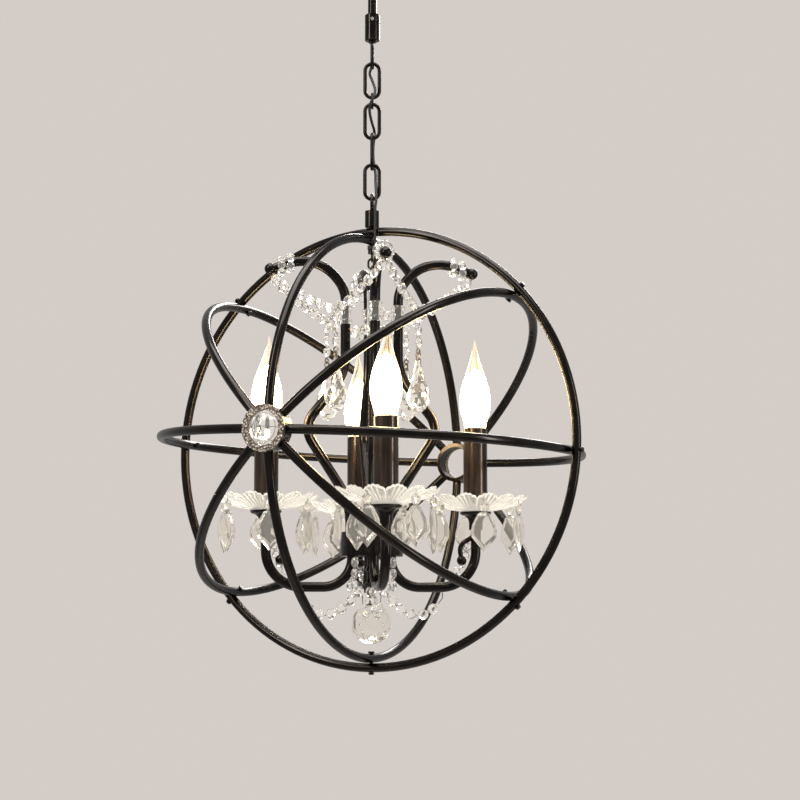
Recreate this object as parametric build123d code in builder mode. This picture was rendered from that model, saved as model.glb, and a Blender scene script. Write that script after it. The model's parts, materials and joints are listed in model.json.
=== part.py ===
"""Orb chandelier: a cage of five hoops on a chain, with a four-light crystal chandelier inside.

Millimetres, +Z up. The origin is the centre of the ceiling plane, and everything hangs below it.
The two hubs of the cage lie on the Y axis through the orb's centre, the front one at -Y.
"""
import os
from math import cos, hypot, pi, radians, sin, tan

from build123d import *

os.makedirs("parts", exist_ok=True)

# ---------------------------------------------------------------- driving dimensions

fit = 0.3              # gap between faces that belong to different pieces

# Ceiling mount
bracket_length = 104.0
bracket_width = 22.0
bracket_thickness = 2.5
bracket_drop = 12.0
bracket_middle = 44.0
bracket_slot_spacing = 82.0
bracket_slot_width = 5.0
bracket_slot_length = 11.0
ground_screw_place = 14.0
ground_screw_diameter = 3.5
ground_screw_head = 8.0
ground_screw_head_height = 2.4
ground_screw_length = 7.0
rod_collar_diameter = 18.0
rod_collar_height = 5.0
canopy_diameter = 120.0
canopy_height = 26.0
canopy_wall = 1.4
canopy_corner = 10.0
locknut_diameter = 24.0
locknut_height = 9.0

# Downrod, its coupler and the loop on its end
rod_diameter = 10.0
rod_bore = 6.6
rod_drop = 62.0
coupler_diameter = 17.0
coupler_length = 31.0
coupler_groove = 0.8
socket_depth = 13.0
set_screw_diameter = 4.0
stud_diameter = 8.0
stud_length = 9.0

# Chain
wire = 4.2
link_length = 44.0
link_width = 20.5
rod_loop_length = 33.0
ring_wire = 3.2
ring_diameter = 19.0
eye_diameter = 22.0
face_turn = 26.0       # degrees from +X to the plane of the flat-on links

# Cage
orb_diameter = 500.0
tube = 10.0
ring_turns = {"vertical_ring": 0.0, "rising_ring": 47.0, "equator_ring": 92.8, "falling_ring": 135.5}
collar_diameter = 16.0
collar_height = 19.0
bolt_diameter = 6.0
screw_diameter = 4.0
screw_head = 7.0
screw_head_height = 2.4
hub_diameter = 46.6
hub_bore = 38.0
hub_length = 16.0
bezel_diameter = 49.0
bezel_lip = 36.0
bezel_thickness = 4.5
crystal_diameter = 37.2

# Hanging point inside the cage
nut_width = 10.0
nut_height = 4.0
small_wire = 2.4
small_eye = 10.5
small_link_length = 14.0
loop_body_diameter = 9.0
loop_body_height = 5.0

# Inner chandelier: heights are measured from the orb's centre
arm_count = 4
arm_turn = -56.0       # degrees from +X to the first arm, which points to the front
stem_head_diameter = 12.0
stem_head_height = 19.0
stem_diameter = 5.2
stem_bore = 4.0
stem_sleeve_diameter = 13.0
stem_sleeve_top = 121.0
stem_sleeve_bottom = 82.0
stem_foot_diameter = 8.0
glass_tube_diameter = 11.0
drum_diameter = 70.0
drum_top = -95.0
drum_height = 27.0
drum_wall = 1.6
cover_thickness = 2.6
scroll_wire = 11.0
scroll_waist = 30.0
scroll_pin = 5.0
scroll_foot = 24.0
scroll_tip = 112.0
scroll_tip_drop = 19.0
scroll_crown = 219.0
scroll_crown_radius = 63.0
scroll_belly = 78.0
scroll_belly_height = 22.0
tip_ball = 13.0
bobbin_diameter = 16.0
bobbin_waist = 11.0
bobbin_height = 22.0
bobbin_top = 161.0
candle_radius = 118.0
candle_arm_wire = 11.0
candle_arm_foot = 22.0
candle_arm_low = -156.0
candle_arm_inner_bend = 32.0
candle_arm_outer_bend = 40.0
curl_wire = 5.5
curl_reach = 16.0
curl_drop = 34.0
neck_bottom = -92.0
flange_top = -71.6
flange_diameter = 35.0
flange_thickness = 1.8
neck_diameter = 15.0
nipple_diameter = 9.6
bobeche_diameter = 116.0
bobeche_rim = -53.0
bobeche_glass = 3.0
bobeche_floor = 36.0
bobeche_shoulder = 93.0
shoulder_drop = 4.8
petals = 14
sleeve_diameter = 27.0
sleeve_wall = 1.3
sleeve_top = 22.0
holder_diameter = 23.4
holder_height = 42.0
cap_diameter = 14.0
cap_length = 24.0
bulb_diameter = 35.0
bulb_height = 101.0

# Crystals
bead_width = 12.0
bead_thickness = 7.0
string_wire = 1.6
string_joint = 148.0
string_sag = 8.0
string_lead = 3.0
scallop_radius = 8.0
drops_per_bobeche = 6
drop_circle = 102.0
drop_width = 29.0
drop_height = 44.0
drop_thickness = 8.0
teardrop_radius = 65.0
teardrop_diameter = 26.0
teardrop_height = 62.0
teardrop_top = 96.0
teardrop_eye = 7.5
ball_diameter = 45.0
ball_centre = -197.0
finial_diameter = 10.0
finial_bottom = -152.0
swag_radius = 80.0
swag_depth = 52.0

# Supply cord
cord_diameter = 3.2
cord_hole = 5.0
cord_start = -3.0      # the cord's cut end, in the canopy just under the ceiling

# ---------------------------------------------------------------- derived heights and directions

coupler_top = -canopy_height - rod_drop
coupler_bottom = coupler_top - coupler_length
loop_top = coupler_bottom - fit
loop_bottom = loop_top - rod_loop_length


def next_top(bottom_above, wire_above, own_wire):
    """Top of a link that hangs on the bow above, with the wires a small gap apart."""
    return bottom_above + wire_above + own_wire + fit


link_1_top = next_top(loop_bottom, wire, wire)
chain_ring_top = next_top(link_1_top - link_length, wire, ring_wire)
link_2_top = next_top(chain_ring_top - ring_diameter, ring_wire, wire)
link_3_top = next_top(link_2_top - link_length, wire, wire)
link_4_top = next_top(link_3_top - link_length, wire, wire)
eye_top = next_top(link_4_top - link_length, wire, wire)
collar_top = eye_top - eye_diameter + wire / 3
collar_bottom = collar_top - collar_height

outer_radius = (orb_diameter - tube) / 2
inner_radius = outer_radius - tube - fit
orb_centre = collar_bottom - fit - orb_diameter / 2
inside_ring = inner_radius - tube / 2
hole_start = inside_ring - tube

nut_top = inside_ring - fit
loop_body_top = nut_top - nut_height - fit
inner_loop_top = loop_body_top - loop_body_height + small_wire / 3
inner_loop_bottom = inner_loop_top - small_eye
inner_link_top = next_top(inner_loop_bottom, small_wire, small_wire)
inner_link_bottom = inner_link_top - small_link_length
stem_eye_top = next_top(inner_link_bottom, small_wire, small_wire)
stem_head_top = stem_eye_top - small_eye + small_wire / 3
stem_head_bottom = stem_head_top - stem_head_height
drum_bottom = drum_top - drum_height
teardrop_eye_top = teardrop_top - string_wire / 2 + teardrop_eye
finial_eye_centre = finial_bottom - small_eye / 2 + small_wire / 3
cord_pass_offset = tube / 2 + cord_diameter / 2 + 2 * fit

up = Vector(0, 0, 1)
across = Vector(cos(radians(face_turn)), sin(radians(face_turn)), 0)
away = Vector(-sin(radians(face_turn)), cos(radians(face_turn)), 0)


def height(h):
    """A point on the vertical axis, at a height measured from the orb's centre."""
    return Vector(0, 0, orb_centre + h)


hub_plane = Plane(origin=height(0), x_dir=(1, 0, 0), z_dir=(0, -1, 0))


def flat_plane(z):
    """Plane of a link that is seen flat: its local axes are across and up."""
    return Plane(origin=(0, 0, z), x_dir=across, z_dir=across.cross(up))


def edge_plane(z):
    """Plane of a link that is seen edge-on: its local axes are away and up."""
    return Plane(origin=(0, 0, z), x_dir=away, z_dir=away.cross(up))


def turn_plane(angle):
    """Upright plane through the orb's centre: its local axes are radius and height."""
    radial = Vector(cos(radians(angle)), sin(radians(angle)), 0)
    return Plane(origin=height(0), x_dir=radial, z_dir=radial.cross(up))


def candle_axis(radius):
    """Vertical axis at a radius in the first upright plane."""
    return Axis((radius, 0, orb_centre), up)


arm_angles = [arm_turn + 360 / arm_count * i for i in range(arm_count)]
between_angles = [angle + 180 / arm_count for angle in arm_angles]


def finish(piece, name):
    """Label a finished piece and write it to its own file."""
    piece.part.label = name
    export_step(piece.part, f"parts/{name}.step")


# ---------------------------------------------------------------- ceiling mount


def make_ceiling_mount():
    """Crossbar, its ground screw, the dished canopy and the nut that holds the canopy up."""
    half_tab = bracket_length / 2
    half_middle = bracket_middle / 2
    with BuildPart() as bracket:
        with BuildSketch(Plane.XZ.offset(-bracket_width / 2)):
            with BuildLine():
                Polyline(
                    (0, -bracket_drop),
                    (half_middle - bracket_thickness, -bracket_drop),
                    (half_middle, 0),
                    (half_tab, 0),
                    (half_tab, -bracket_thickness),
                    (half_middle + bracket_thickness, -bracket_thickness),
                    (half_middle, -bracket_drop - bracket_thickness),
                    (0, -bracket_drop - bracket_thickness),
                )
                mirror(about=Plane.YZ)
            make_face()
        extrude(amount=bracket_width)
        with BuildSketch(Plane.XY):
            with Locations((-bracket_slot_spacing / 2, 0), (bracket_slot_spacing / 2, 0)):
                SlotOverall(bracket_slot_length, bracket_slot_width)
            Circle(rod_diameter / 2 + fit)
            with Locations((ground_screw_place, 0)):
                Circle(ground_screw_diameter / 2 + fit / 2)
        extrude(amount=-bracket_drop - 2 * bracket_thickness, mode=Mode.SUBTRACT)
    finish(bracket, "ceiling_bracket")

    with BuildPart() as ground_screw:
        head_top = -bracket_drop - bracket_thickness - fit
        with BuildSketch(Plane.XY.offset(head_top - ground_screw_head_height)):
            with Locations((ground_screw_place, 0)):
                Circle(ground_screw_head / 2)
        extrude(amount=ground_screw_head_height)
        with BuildSketch(Plane.XY.offset(head_top)):
            with Locations((ground_screw_place, 0)):
                Circle(ground_screw_diameter / 2)
        extrude(amount=ground_screw_length)
    finish(ground_screw, "ground_screw")

    with BuildPart() as canopy:
        with BuildSketch(Plane.XY.offset(-canopy_height)):
            Circle(canopy_diameter / 2)
        extrude(amount=canopy_height)
        fillet(canopy.faces().sort_by(Axis.Z)[0].edges(), radius=canopy_corner)
        offset(amount=-canopy_wall, openings=canopy.faces().sort_by(Axis.Z)[-1])
        with BuildSketch(Plane.XY.offset(-canopy_height)):
            Circle(rod_diameter / 2 + fit)
        extrude(amount=canopy_wall * 2, mode=Mode.SUBTRACT)
    finish(canopy, "canopy")

    with BuildPart() as locknut:
        with BuildSketch(Plane.XY.offset(-canopy_height - fit - locknut_height)):
            Circle(locknut_diameter / 2)
        extrude(amount=locknut_height)
        chamfer(locknut.edges().sort_by(Axis.Z)[0], length=locknut_height / 4)
        with BuildSketch(Plane.XY.offset(-canopy_height - fit - locknut_height)):
            Circle(rod_diameter / 2 + fit / 2)
        extrude(amount=locknut_height, mode=Mode.SUBTRACT)
    finish(locknut, "canopy_locknut")


def make_downrod():
    """Hollow rod, the coupler on its end, the coupler's set screw and the loop below it."""
    rod_end = coupler_top - socket_depth
    rod_top = -bracket_drop + fit + rod_collar_height
    with BuildPart() as rod:
        with BuildSketch(Plane.XY.offset(rod_end)):
            Circle(rod_diameter / 2)
            Circle(rod_bore / 2, mode=Mode.SUBTRACT)
        extrude(amount=rod_top - rod_end)
        with BuildSketch(Plane.XY.offset(-bracket_drop + fit)):
            Circle(rod_collar_diameter / 2)
            Circle(rod_bore / 2, mode=Mode.SUBTRACT)
        extrude(amount=rod_collar_height)
    finish(rod, "downrod")

    with BuildPart() as coupler:
        with BuildSketch(Plane.XY.offset(coupler_bottom)):
            Circle(coupler_diameter / 2)
        extrude(amount=coupler_length)
        chamfer(coupler.edges(), length=coupler_groove)
        with BuildSketch(Plane.XY.offset(rod_end - fit)):
            Circle(rod_diameter / 2 + fit / 2)
        extrude(amount=socket_depth + 2 * fit, mode=Mode.SUBTRACT)
        with BuildSketch(Plane.XY.offset(coupler_bottom)):
            Circle(stud_diameter / 2 + fit / 2)
        extrude(amount=stud_length + fit, mode=Mode.SUBTRACT)
        with BuildSketch(Plane.XY.offset(coupler_bottom + coupler_length * 0.62)):
            Circle(coupler_diameter / 2)
            Circle(coupler_diameter / 2 - coupler_groove, mode=Mode.SUBTRACT)
        extrude(amount=coupler_groove * 2, mode=Mode.SUBTRACT)
        with BuildSketch(Plane(origin=(0, 0, set_screw_height()), z_dir=-away)):
            Circle(set_screw_diameter / 2 + fit / 2)
        extrude(amount=coupler_diameter, mode=Mode.SUBTRACT)
        with BuildSketch(Plane(origin=cord_exit_inside(), z_dir=cord_exit_direction())):
            Circle(cord_hole / 2)
        extrude(amount=coupler_diameter, mode=Mode.SUBTRACT)
        with BuildSketch(Plane.XY.offset(coupler_bottom + stud_length + fit)):
            Circle(rod_bore / 2)
        extrude(amount=coupler_top - socket_depth - coupler_bottom - stud_length, mode=Mode.SUBTRACT)
    finish(coupler, "rod_coupler")

    with BuildPart() as set_screw:
        with BuildSketch(Plane(origin=(0, 0, set_screw_height()), z_dir=-away)):
            Circle(set_screw_diameter / 2)
        extrude(amount=coupler_diameter / 2 - fit)
        with BuildSketch(Plane(origin=(0, 0, set_screw_height()), z_dir=-away)):
            Circle(set_screw_diameter)
        extrude(amount=rod_diameter / 2 + fit, mode=Mode.SUBTRACT)
    finish(set_screw, "coupler_set_screw")

    with BuildPart() as loop:
        add(oval_link(edge_plane(loop_top - rod_loop_length / 2), rod_loop_length, link_width, wire))
        with BuildSketch(Plane.XY.offset(loop_top - wire / 2)):
            Circle(stud_diameter / 2)
        extrude(amount=coupler_bottom + stud_length - (loop_top - wire / 2))
    finish(loop, "rod_loop")


def set_screw_height():
    """The set screw bears on the rod's end, in the upper half of the coupler."""
    return coupler_top - socket_depth / 2


def cord_exit_direction():
    """The cord leaves the coupler downwards and backwards, behind the loop."""
    return (away - up * 0.9).normalized()


def cord_exit_inside():
    """Where the exit hole's axis meets the coupler's own axis."""
    return Vector(0, 0, coupler_bottom + stud_length + cord_hole * 1.4)


# ---------------------------------------------------------------- chain


def oval_link(plane, length, width, thickness):
    """Closed oval link of round wire, centred on the plane's origin, with its length upright."""
    bow = (width - thickness) / 2
    leg = (length - width) / 2
    with BuildPart(mode=Mode.PRIVATE) as link:
        with BuildLine(plane) as half:
            Line((bow, 0), (bow, leg))
            CenterArc((0, leg), bow, 0, 180)
            Line((-bow, leg), (-bow, 0))
        with BuildSketch(Plane(origin=half.line @ 0, z_dir=half.line % 0)):
            Circle(thickness / 2)
        sweep()
        mirror(about=Plane(origin=plane.origin, z_dir=up))
    return link.part


def round_eye(plane, diameter, thickness):
    """Closed round eye of round wire, centred on the plane's origin."""
    centre = (diameter - thickness) / 2
    with BuildPart(mode=Mode.PRIVATE) as eye:
        with BuildSketch(Plane(origin=plane.origin, x_dir=plane.x_dir, z_dir=up)):
            with Locations((centre, 0)):
                Circle(thickness / 2)
        revolve(axis=Axis(plane.origin, plane.z_dir))
    return eye.part


def make_chain():
    """Four oval links with a small round ring between the first two, each turned a quarter."""
    links = {
        "chain_link_1": (flat_plane, link_1_top),
        "chain_link_2": (flat_plane, link_2_top),
        "chain_link_3": (edge_plane, link_3_top),
        "chain_link_4": (flat_plane, link_4_top),
    }
    for name, (plane, top) in links.items():
        with BuildPart() as link:
            add(oval_link(plane(top - link_length / 2), link_length, link_width, wire))
        finish(link, name)
    with BuildPart() as ring:
        add(round_eye(edge_plane(chain_ring_top - ring_diameter / 2), ring_diameter, ring_wire))
    finish(ring, "chain_ring")


# ---------------------------------------------------------------- cage


def ring_direction(turn):
    """Direction from the orb's centre to where a hoop crosses the outer ring, near the top."""
    return Vector(sin(radians(turn)), 0, cos(radians(turn)))


def screw_directions():
    """Every crossing of the outer ring but the top one, which the eye bolt holds."""
    directions = []
    for turn in ring_turns.values():
        directions += [ring_direction(turn), -ring_direction(turn)]
    return directions[1:]


def crossing_holes():
    """Clearance holes for the ring screws and for the eye bolt, as one tool."""
    with BuildPart(mode=Mode.PRIVATE) as holes:
        for direction in screw_directions():
            with BuildSketch(Plane(origin=height(0) + direction * hole_start, z_dir=direction)):
                Circle(screw_diameter / 2 + fit / 2)
            extrude(amount=tube * 4)
        with BuildSketch(Plane(origin=height(hole_start), z_dir=up)):
            Circle(bolt_diameter / 2 + fit / 2)
        extrude(amount=tube * 4)
    return holes.part


def make_rings():
    """The outer ring stands across the hub axis, and four hoops run from hub to hub inside it."""
    holes = crossing_holes()
    with BuildPart() as outer_ring:
        with BuildSketch(Plane(origin=height(0) + Vector(outer_radius, 0, 0), x_dir=(0, 1, 0), z_dir=up)):
            Circle(tube / 2)
        revolve(axis=Axis(height(0), (0, 1, 0)))
        add(holes, mode=Mode.SUBTRACT)
    finish(outer_ring, "outer_ring")

    for name, turn in ring_turns.items():
        with BuildPart() as ring:
            with BuildSketch(hub_plane):
                with Locations((inner_radius * sin(radians(turn)), inner_radius * cos(radians(turn)))):
                    Circle(tube / 2)
            revolve(axis=Axis(height(0), Vector(cos(radians(turn)), 0, -sin(radians(turn)))))
            with BuildSketch(hub_plane):
                Circle(hub_diameter / 2 + fit)
            extrude(amount=orb_diameter, both=True, mode=Mode.SUBTRACT)
            add(holes, mode=Mode.SUBTRACT)
        finish(ring, name)


def make_ring_screws():
    """Button-head screws through both tubes at each crossing, with a rounded nut inside."""
    with BuildPart() as screws:
        for direction in screw_directions():
            with BuildSketch(Plane(origin=height(0) + direction * (orb_diameter / 2 + fit), z_dir=direction)):
                Circle(screw_head / 2)
            extrude(amount=screw_head_height, taper=20)
            inner_end = inside_ring - fit - screw_head_height
            with BuildSketch(Plane(origin=height(0) + direction * inner_end, z_dir=direction)):
                Circle(screw_head / 2)
            extrude(amount=screw_head_height)
            with BuildSketch(Plane(origin=height(0) + direction * inner_end, z_dir=direction)):
                Circle(screw_diameter / 2)
            extrude(amount=orb_diameter / 2 + fit - inner_end)
    finish(screws, "ring_screws")


def make_hubs():
    """A short pipe at each end of the hub axis, with a bezel, and a crystal in the front one."""
    middle = (inner_radius ** 2 - (hub_diameter / 2) ** 2) ** 0.5
    for name, side in (("front", -1), ("back", 1)):
        outward = Vector(0, side, 0)
        with BuildPart() as hub:
            with BuildSketch(Plane(origin=height(0) + outward * middle, z_dir=outward)):
                Circle(hub_diameter / 2)
                Circle(hub_bore / 2, mode=Mode.SUBTRACT)
            extrude(amount=hub_length / 2, both=True)
        finish(hub, f"{name}_hub")

        with BuildPart() as bezel:
            with BuildSketch(Plane(origin=height(0) + outward * (middle + hub_length / 2), z_dir=outward)):
                Circle(bezel_diameter / 2)
                Circle(bezel_lip / 2, mode=Mode.SUBTRACT)
            extrude(amount=bezel_thickness)
            fillet(bezel.faces().sort_by(Axis.Y)[side if side < 0 else 0].edges(), radius=bezel_thickness / 4)
        finish(bezel, f"{name}_bezel")

    crystal_edge = bezel_lip / 2
    crystal_centre = middle + hub_length / 2 + fit - (crystal_diameter ** 2 / 4 - crystal_edge ** 2) ** 0.5
    with BuildPart() as crystal:
        with BuildSketch(Plane(origin=height(0), x_dir=(1, 0, 0), z_dir=(0, 0, 1))):
            with BuildLine():
                CenterArc((0, -crystal_centre + fit * 2), crystal_diameter / 2, -90, 180)
                Line((0, -crystal_centre + fit * 2 - crystal_diameter / 2),
                     (0, -crystal_centre + fit * 2 + crystal_diameter / 2))
            make_face()
        revolve(axis=Axis(height(0), (0, 1, 0)))
    finish(crystal, "front_crystal")


def make_hanging_point():
    """Eye bolt through the top crossing, its nut, and the loop that the chandelier hangs on."""
    bolt_end = orb_centre + loop_body_top - loop_body_height + 2 * fit
    with BuildPart() as eye_bolt:
        add(round_eye(edge_plane(eye_top - eye_diameter / 2), eye_diameter, wire))
        with BuildSketch(Plane.XY.offset(collar_bottom)):
            Circle(collar_diameter / 2)
        extrude(amount=collar_height)
        chamfer(eye_bolt.edges().filter_by(GeomType.CIRCLE).sort_by(Axis.Z)[0], length=1)
        with BuildSketch(Plane.XY.offset(bolt_end)):
            Circle(bolt_diameter / 2)
        extrude(amount=collar_bottom - bolt_end)
    finish(eye_bolt, "top_eye_bolt")

    with BuildPart() as nut:
        with BuildSketch(Plane(origin=height(nut_top - nut_height), z_dir=up)):
            RegularPolygon(nut_width / 2, 6, major_radius=False)
            Circle(bolt_diameter / 2 + fit / 2, mode=Mode.SUBTRACT)
        extrude(amount=nut_height)
    finish(nut, "top_nut")

    with BuildPart() as loop:
        add(round_eye(edge_plane(orb_centre + inner_loop_top - small_eye / 2), small_eye, small_wire))
        with BuildSketch(Plane(origin=height(loop_body_top - loop_body_height), z_dir=up)):
            Circle(loop_body_diameter / 2)
        extrude(amount=loop_body_height)
        with BuildSketch(Plane.XY.offset(bolt_end - fit)):
            Circle(bolt_diameter / 2 + fit / 2)
        extrude(amount=loop_body_height, mode=Mode.SUBTRACT)
    finish(loop, "inner_loop")

    with BuildPart() as link:
        middle = orb_centre + inner_link_top - small_link_length / 2
        add(oval_link(flat_plane(middle), small_link_length, small_eye, small_wire))
    finish(link, "inner_link")


# ---------------------------------------------------------------- inner chandelier: metal


def make_stem():
    """Central tube with an eye on its head, a turned sleeve half way and a clear glass tube."""
    with BuildPart() as stem:
        add(round_eye(edge_plane(orb_centre + stem_eye_top - small_eye / 2), small_eye, small_wire))
        with BuildSketch(Plane(origin=height(stem_head_bottom), z_dir=up)):
            Circle(stem_head_diameter / 2)
        extrude(amount=stem_head_height)
        fillet(stem.edges().filter_by(GeomType.CIRCLE).sort_by(Axis.Z)[0], radius=1.5)
        with BuildSketch(Plane(origin=height(drum_top + fit), z_dir=up)):
            Circle(stem_foot_diameter / 2)
        extrude(amount=stem_sleeve_bottom - drum_top)
        with BuildSketch(Plane(origin=height(drum_top - drum_wall * 2), z_dir=up)):
            Circle(stem_diameter / 2)
        extrude(amount=stem_head_bottom - drum_top + drum_wall * 2)
        with BuildSketch(Plane(origin=height(stem_sleeve_bottom), z_dir=up)):
            Circle(stem_sleeve_diameter / 2)
        extrude(amount=stem_sleeve_top - stem_sleeve_bottom)
        with BuildSketch(Plane(origin=height(drum_top - drum_wall * 2), z_dir=up)):
            Circle(stem_bore / 2)
        extrude(amount=cord_turn_height() - drum_top + drum_wall * 2, mode=Mode.SUBTRACT)
        with BuildSketch(Plane(origin=height(stem_head_bottom), z_dir=up)):
            Circle(cord_hole / 2)
        extrude(amount=cord_turn_height() - stem_head_bottom, mode=Mode.SUBTRACT)
        with BuildSketch(Plane(origin=height(cord_turn_height()), z_dir=cord_entry_direction())):
            Circle(cord_hole / 2)
        extrude(amount=stem_head_height, mode=Mode.SUBTRACT)
        with Locations(height(cord_turn_height())):
            Sphere(cord_hole / 2, mode=Mode.SUBTRACT)
    finish(stem, "stem")

    with BuildPart() as glass:
        with BuildSketch(Plane(origin=height(stem_sleeve_top + fit), z_dir=up)):
            Circle(glass_tube_diameter / 2)
            Circle(stem_diameter / 2 + fit, mode=Mode.SUBTRACT)
        extrude(amount=stem_head_bottom - stem_sleeve_top - 2 * fit)
    finish(glass, "stem_glass")


def cord_turn_height():
    """Height where the cord, coming in from the side of the stem's head, turns down the stem."""
    return stem_head_bottom + stem_head_height * 0.3


def cord_entry_direction():
    """Direction from that turn out through the side of the head."""
    corner = Vector(cord_pass_offset, -cord_pass_offset, 0).normalized()
    return (corner + up * 1.5).normalized()


def make_drum():
    """Round wiring box, open below, that every arm is fixed to, and its cover with the finial."""
    with BuildPart() as drum:
        with BuildSketch(Plane(origin=height(drum_bottom), z_dir=up)):
            Circle(drum_diameter / 2)
        extrude(amount=drum_height)
        fillet(drum.edges().filter_by(GeomType.CIRCLE).sort_by(Axis.Z)[-1], radius=drum_wall)
        with BuildSketch(Plane(origin=height(drum_bottom), z_dir=up)):
            Circle(drum_diameter / 2 - drum_wall)
        extrude(amount=drum_height - drum_wall, mode=Mode.SUBTRACT)
        with BuildSketch(Plane(origin=height(drum_bottom), z_dir=up)):
            Circle(stem_diameter / 2 + fit)
            with PolarLocations(scroll_foot, arm_count, arm_turn):
                Circle(scroll_pin / 2 + fit)
        extrude(amount=drum_height + drum_wall, mode=Mode.SUBTRACT)
    finish(drum, "wiring_drum")

    with BuildPart() as cover:
        with BuildSketch(Plane(origin=height(drum_bottom), z_dir=up)):
            Circle(drum_diameter / 2 - drum_wall - fit)
            with PolarLocations(candle_arm_foot, arm_count, arm_turn):
                Circle(nipple_diameter / 2 + fit, mode=Mode.SUBTRACT)
        extrude(amount=cover_thickness)
        with BuildSketch(Plane(origin=height(finial_bottom), z_dir=up)):
            Circle(finial_diameter / 2)
        extrude(amount=drum_bottom - finial_bottom)
        with BuildSketch(Plane(origin=height((drum_bottom + finial_bottom) / 2), z_dir=up)):
            Circle(finial_diameter * 0.7)
        extrude(amount=finial_diameter / 3, both=True, taper=35)
        add(round_eye(edge_plane(orb_centre + finial_eye_centre), small_eye, small_wire))
    finish(cover, "drum_cover")


def bent_tube(points, radii, diameter):
    """Round tube along a bent line in the first upright plane."""
    with BuildPart(mode=Mode.PRIVATE) as tube_part:
        with BuildLine(turn_plane(0)) as path:
            FilletPolyline(*points, radius=radii)
        with BuildSketch(Plane(origin=path.line @ 0, z_dir=path.line % 0)):
            Circle(diameter / 2)
        sweep()
    return tube_part.part


def upright_pin(radius, bottom, top, diameter):
    """Round pin standing at a radius in the first upright plane."""
    with BuildPart(mode=Mode.PRIVATE) as pin:
        with BuildSketch(Plane(origin=(radius, 0, orb_centre + bottom), z_dir=up)):
            Circle(diameter / 2)
        extrude(amount=top - bottom)
    return pin.part


def finish_each(piece, name, angles):
    """Write a copy of a piece of the first upright plane for every angle."""
    for index, angle in enumerate(angles, start=1):
        with BuildPart() as copy:
            with Locations(Location((0, 0, 0), (0, 0, angle))):
                add(piece.part)
        finish(copy, f"{name}_{index}")


def finish_together(piece, name, angles):
    """Write one node with a copy of a piece of the first upright plane for every angle."""
    with BuildPart() as copies:
        for angle in angles:
            with Locations(Location((0, 0, 0), (0, 0, angle))):
                add(piece.part)
    finish(copies, name)


def make_scroll_arms():
    """Four upright scrolls: out at the top, in at the glass bobbin, out again, and in to the drum."""
    bobbin_bottom = bobbin_top - bobbin_height
    tip_height = scroll_crown - scroll_tip_drop
    upper = [
        (scroll_tip, tip_height),
        (scroll_crown_radius, scroll_crown),
        (scroll_waist, bobbin_top + scroll_wire * 1.6),
        (scroll_waist, bobbin_top + fit),
    ]
    lower = [
        (scroll_waist, bobbin_bottom - fit),
        (scroll_waist, stem_sleeve_bottom),
        (scroll_belly, scroll_belly_height),
        (scroll_foot, drum_top + scroll_wire * 3),
        (scroll_foot, drum_top + fit),
    ]
    with BuildPart() as arm:
        add(bent_tube(upper, [48, 38], scroll_wire))
        add(bent_tube(lower, [60, 28, 80], scroll_wire))
        add(upright_pin(scroll_waist, bobbin_bottom - scroll_pin, bobbin_top + scroll_pin, scroll_pin))
        add(upright_pin(scroll_foot, drum_top - drum_wall * 2, drum_top + scroll_pin, scroll_pin))
        with Locations((scroll_tip + tip_ball / 4, 0, orb_centre + tip_height)):
            Sphere(tip_ball / 2)
    finish_each(arm, "scroll_arm", arm_angles)

    with BuildPart() as bobbin:
        with BuildSketch(turn_plane(0)):
            with BuildLine():
                inner = scroll_pin / 2 + fit
                Polyline(
                    (scroll_waist + inner, bobbin_bottom),
                    (scroll_waist + bobbin_diameter / 2, bobbin_bottom),
                    (scroll_waist + bobbin_diameter / 2, bobbin_bottom + bobbin_height / 4),
                    (scroll_waist + bobbin_waist / 2, bobbin_bottom + bobbin_height / 2),
                    (scroll_waist + bobbin_diameter / 2, bobbin_top - bobbin_height / 4),
                    (scroll_waist + bobbin_diameter / 2, bobbin_top),
                    (scroll_waist + inner, bobbin_top),
                    close=True,
                )
            make_face()
        revolve(axis=candle_axis(scroll_waist))
    finish_together(bobbin, "crystal_bobbins", arm_angles)


def make_candle_arms():
    """Four U-shaped arms, from the drum's underside down, out and up to the candle cups."""
    route = [
        (candle_arm_foot, drum_bottom - fit),
        (candle_arm_foot, candle_arm_low),
        (candle_radius, candle_arm_low),
        (candle_radius, neck_bottom),
    ]
    curl = [
        (candle_radius, neck_bottom - curl_wire),
        (candle_radius - curl_reach - curl_wire / 2, neck_bottom - curl_drop / 2),
        (candle_radius - curl_reach, neck_bottom - curl_drop),
    ]
    pin_top = drum_bottom + cover_thickness * 2
    with BuildPart() as arm:
        add(bent_tube(route, [candle_arm_inner_bend, candle_arm_outer_bend], candle_arm_wire))
        add(bent_tube(curl, [curl_wire * 2], curl_wire))
        with Locations((candle_radius - curl_reach, 0, orb_centre + neck_bottom - curl_drop)):
            Sphere(curl_wire)
        add(upright_pin(candle_arm_foot, drum_bottom - 2 * fit, pin_top, nipple_diameter))
        add(upright_pin(candle_radius, neck_bottom - fit, neck_bottom + nipple_diameter / 2, nipple_diameter))
    finish_each(arm, "candle_arm", arm_angles)


def make_candle_cups():
    """Turned cup with a flat flange under each bobeche, bored for the nipple."""
    bore = candle_radius + nipple_diameter / 2 + fit
    neck_edge = candle_radius + neck_diameter / 2
    edge = candle_radius + flange_diameter / 2
    foot = neck_bottom + fit
    with BuildPart() as cup:
        with BuildSketch(turn_plane(0)):
            with BuildLine():
                neck = Line((neck_edge, foot), (neck_edge, foot + neck_diameter / 2))
                rim_foot = (edge - flange_thickness, flange_top - 2 * flange_thickness)
                bell = TangentArc(neck @ 1, rim_foot, tangent=neck % 1)
                Polyline(
                    bell @ 1,
                    (edge, flange_top - flange_thickness),
                    (edge, flange_top),
                    (bore, flange_top),
                    (bore, foot),
                    (neck_edge, foot),
                )
            make_face()
        revolve(axis=candle_axis(candle_radius))
    finish_together(cup, "candle_cups", arm_angles)


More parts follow.
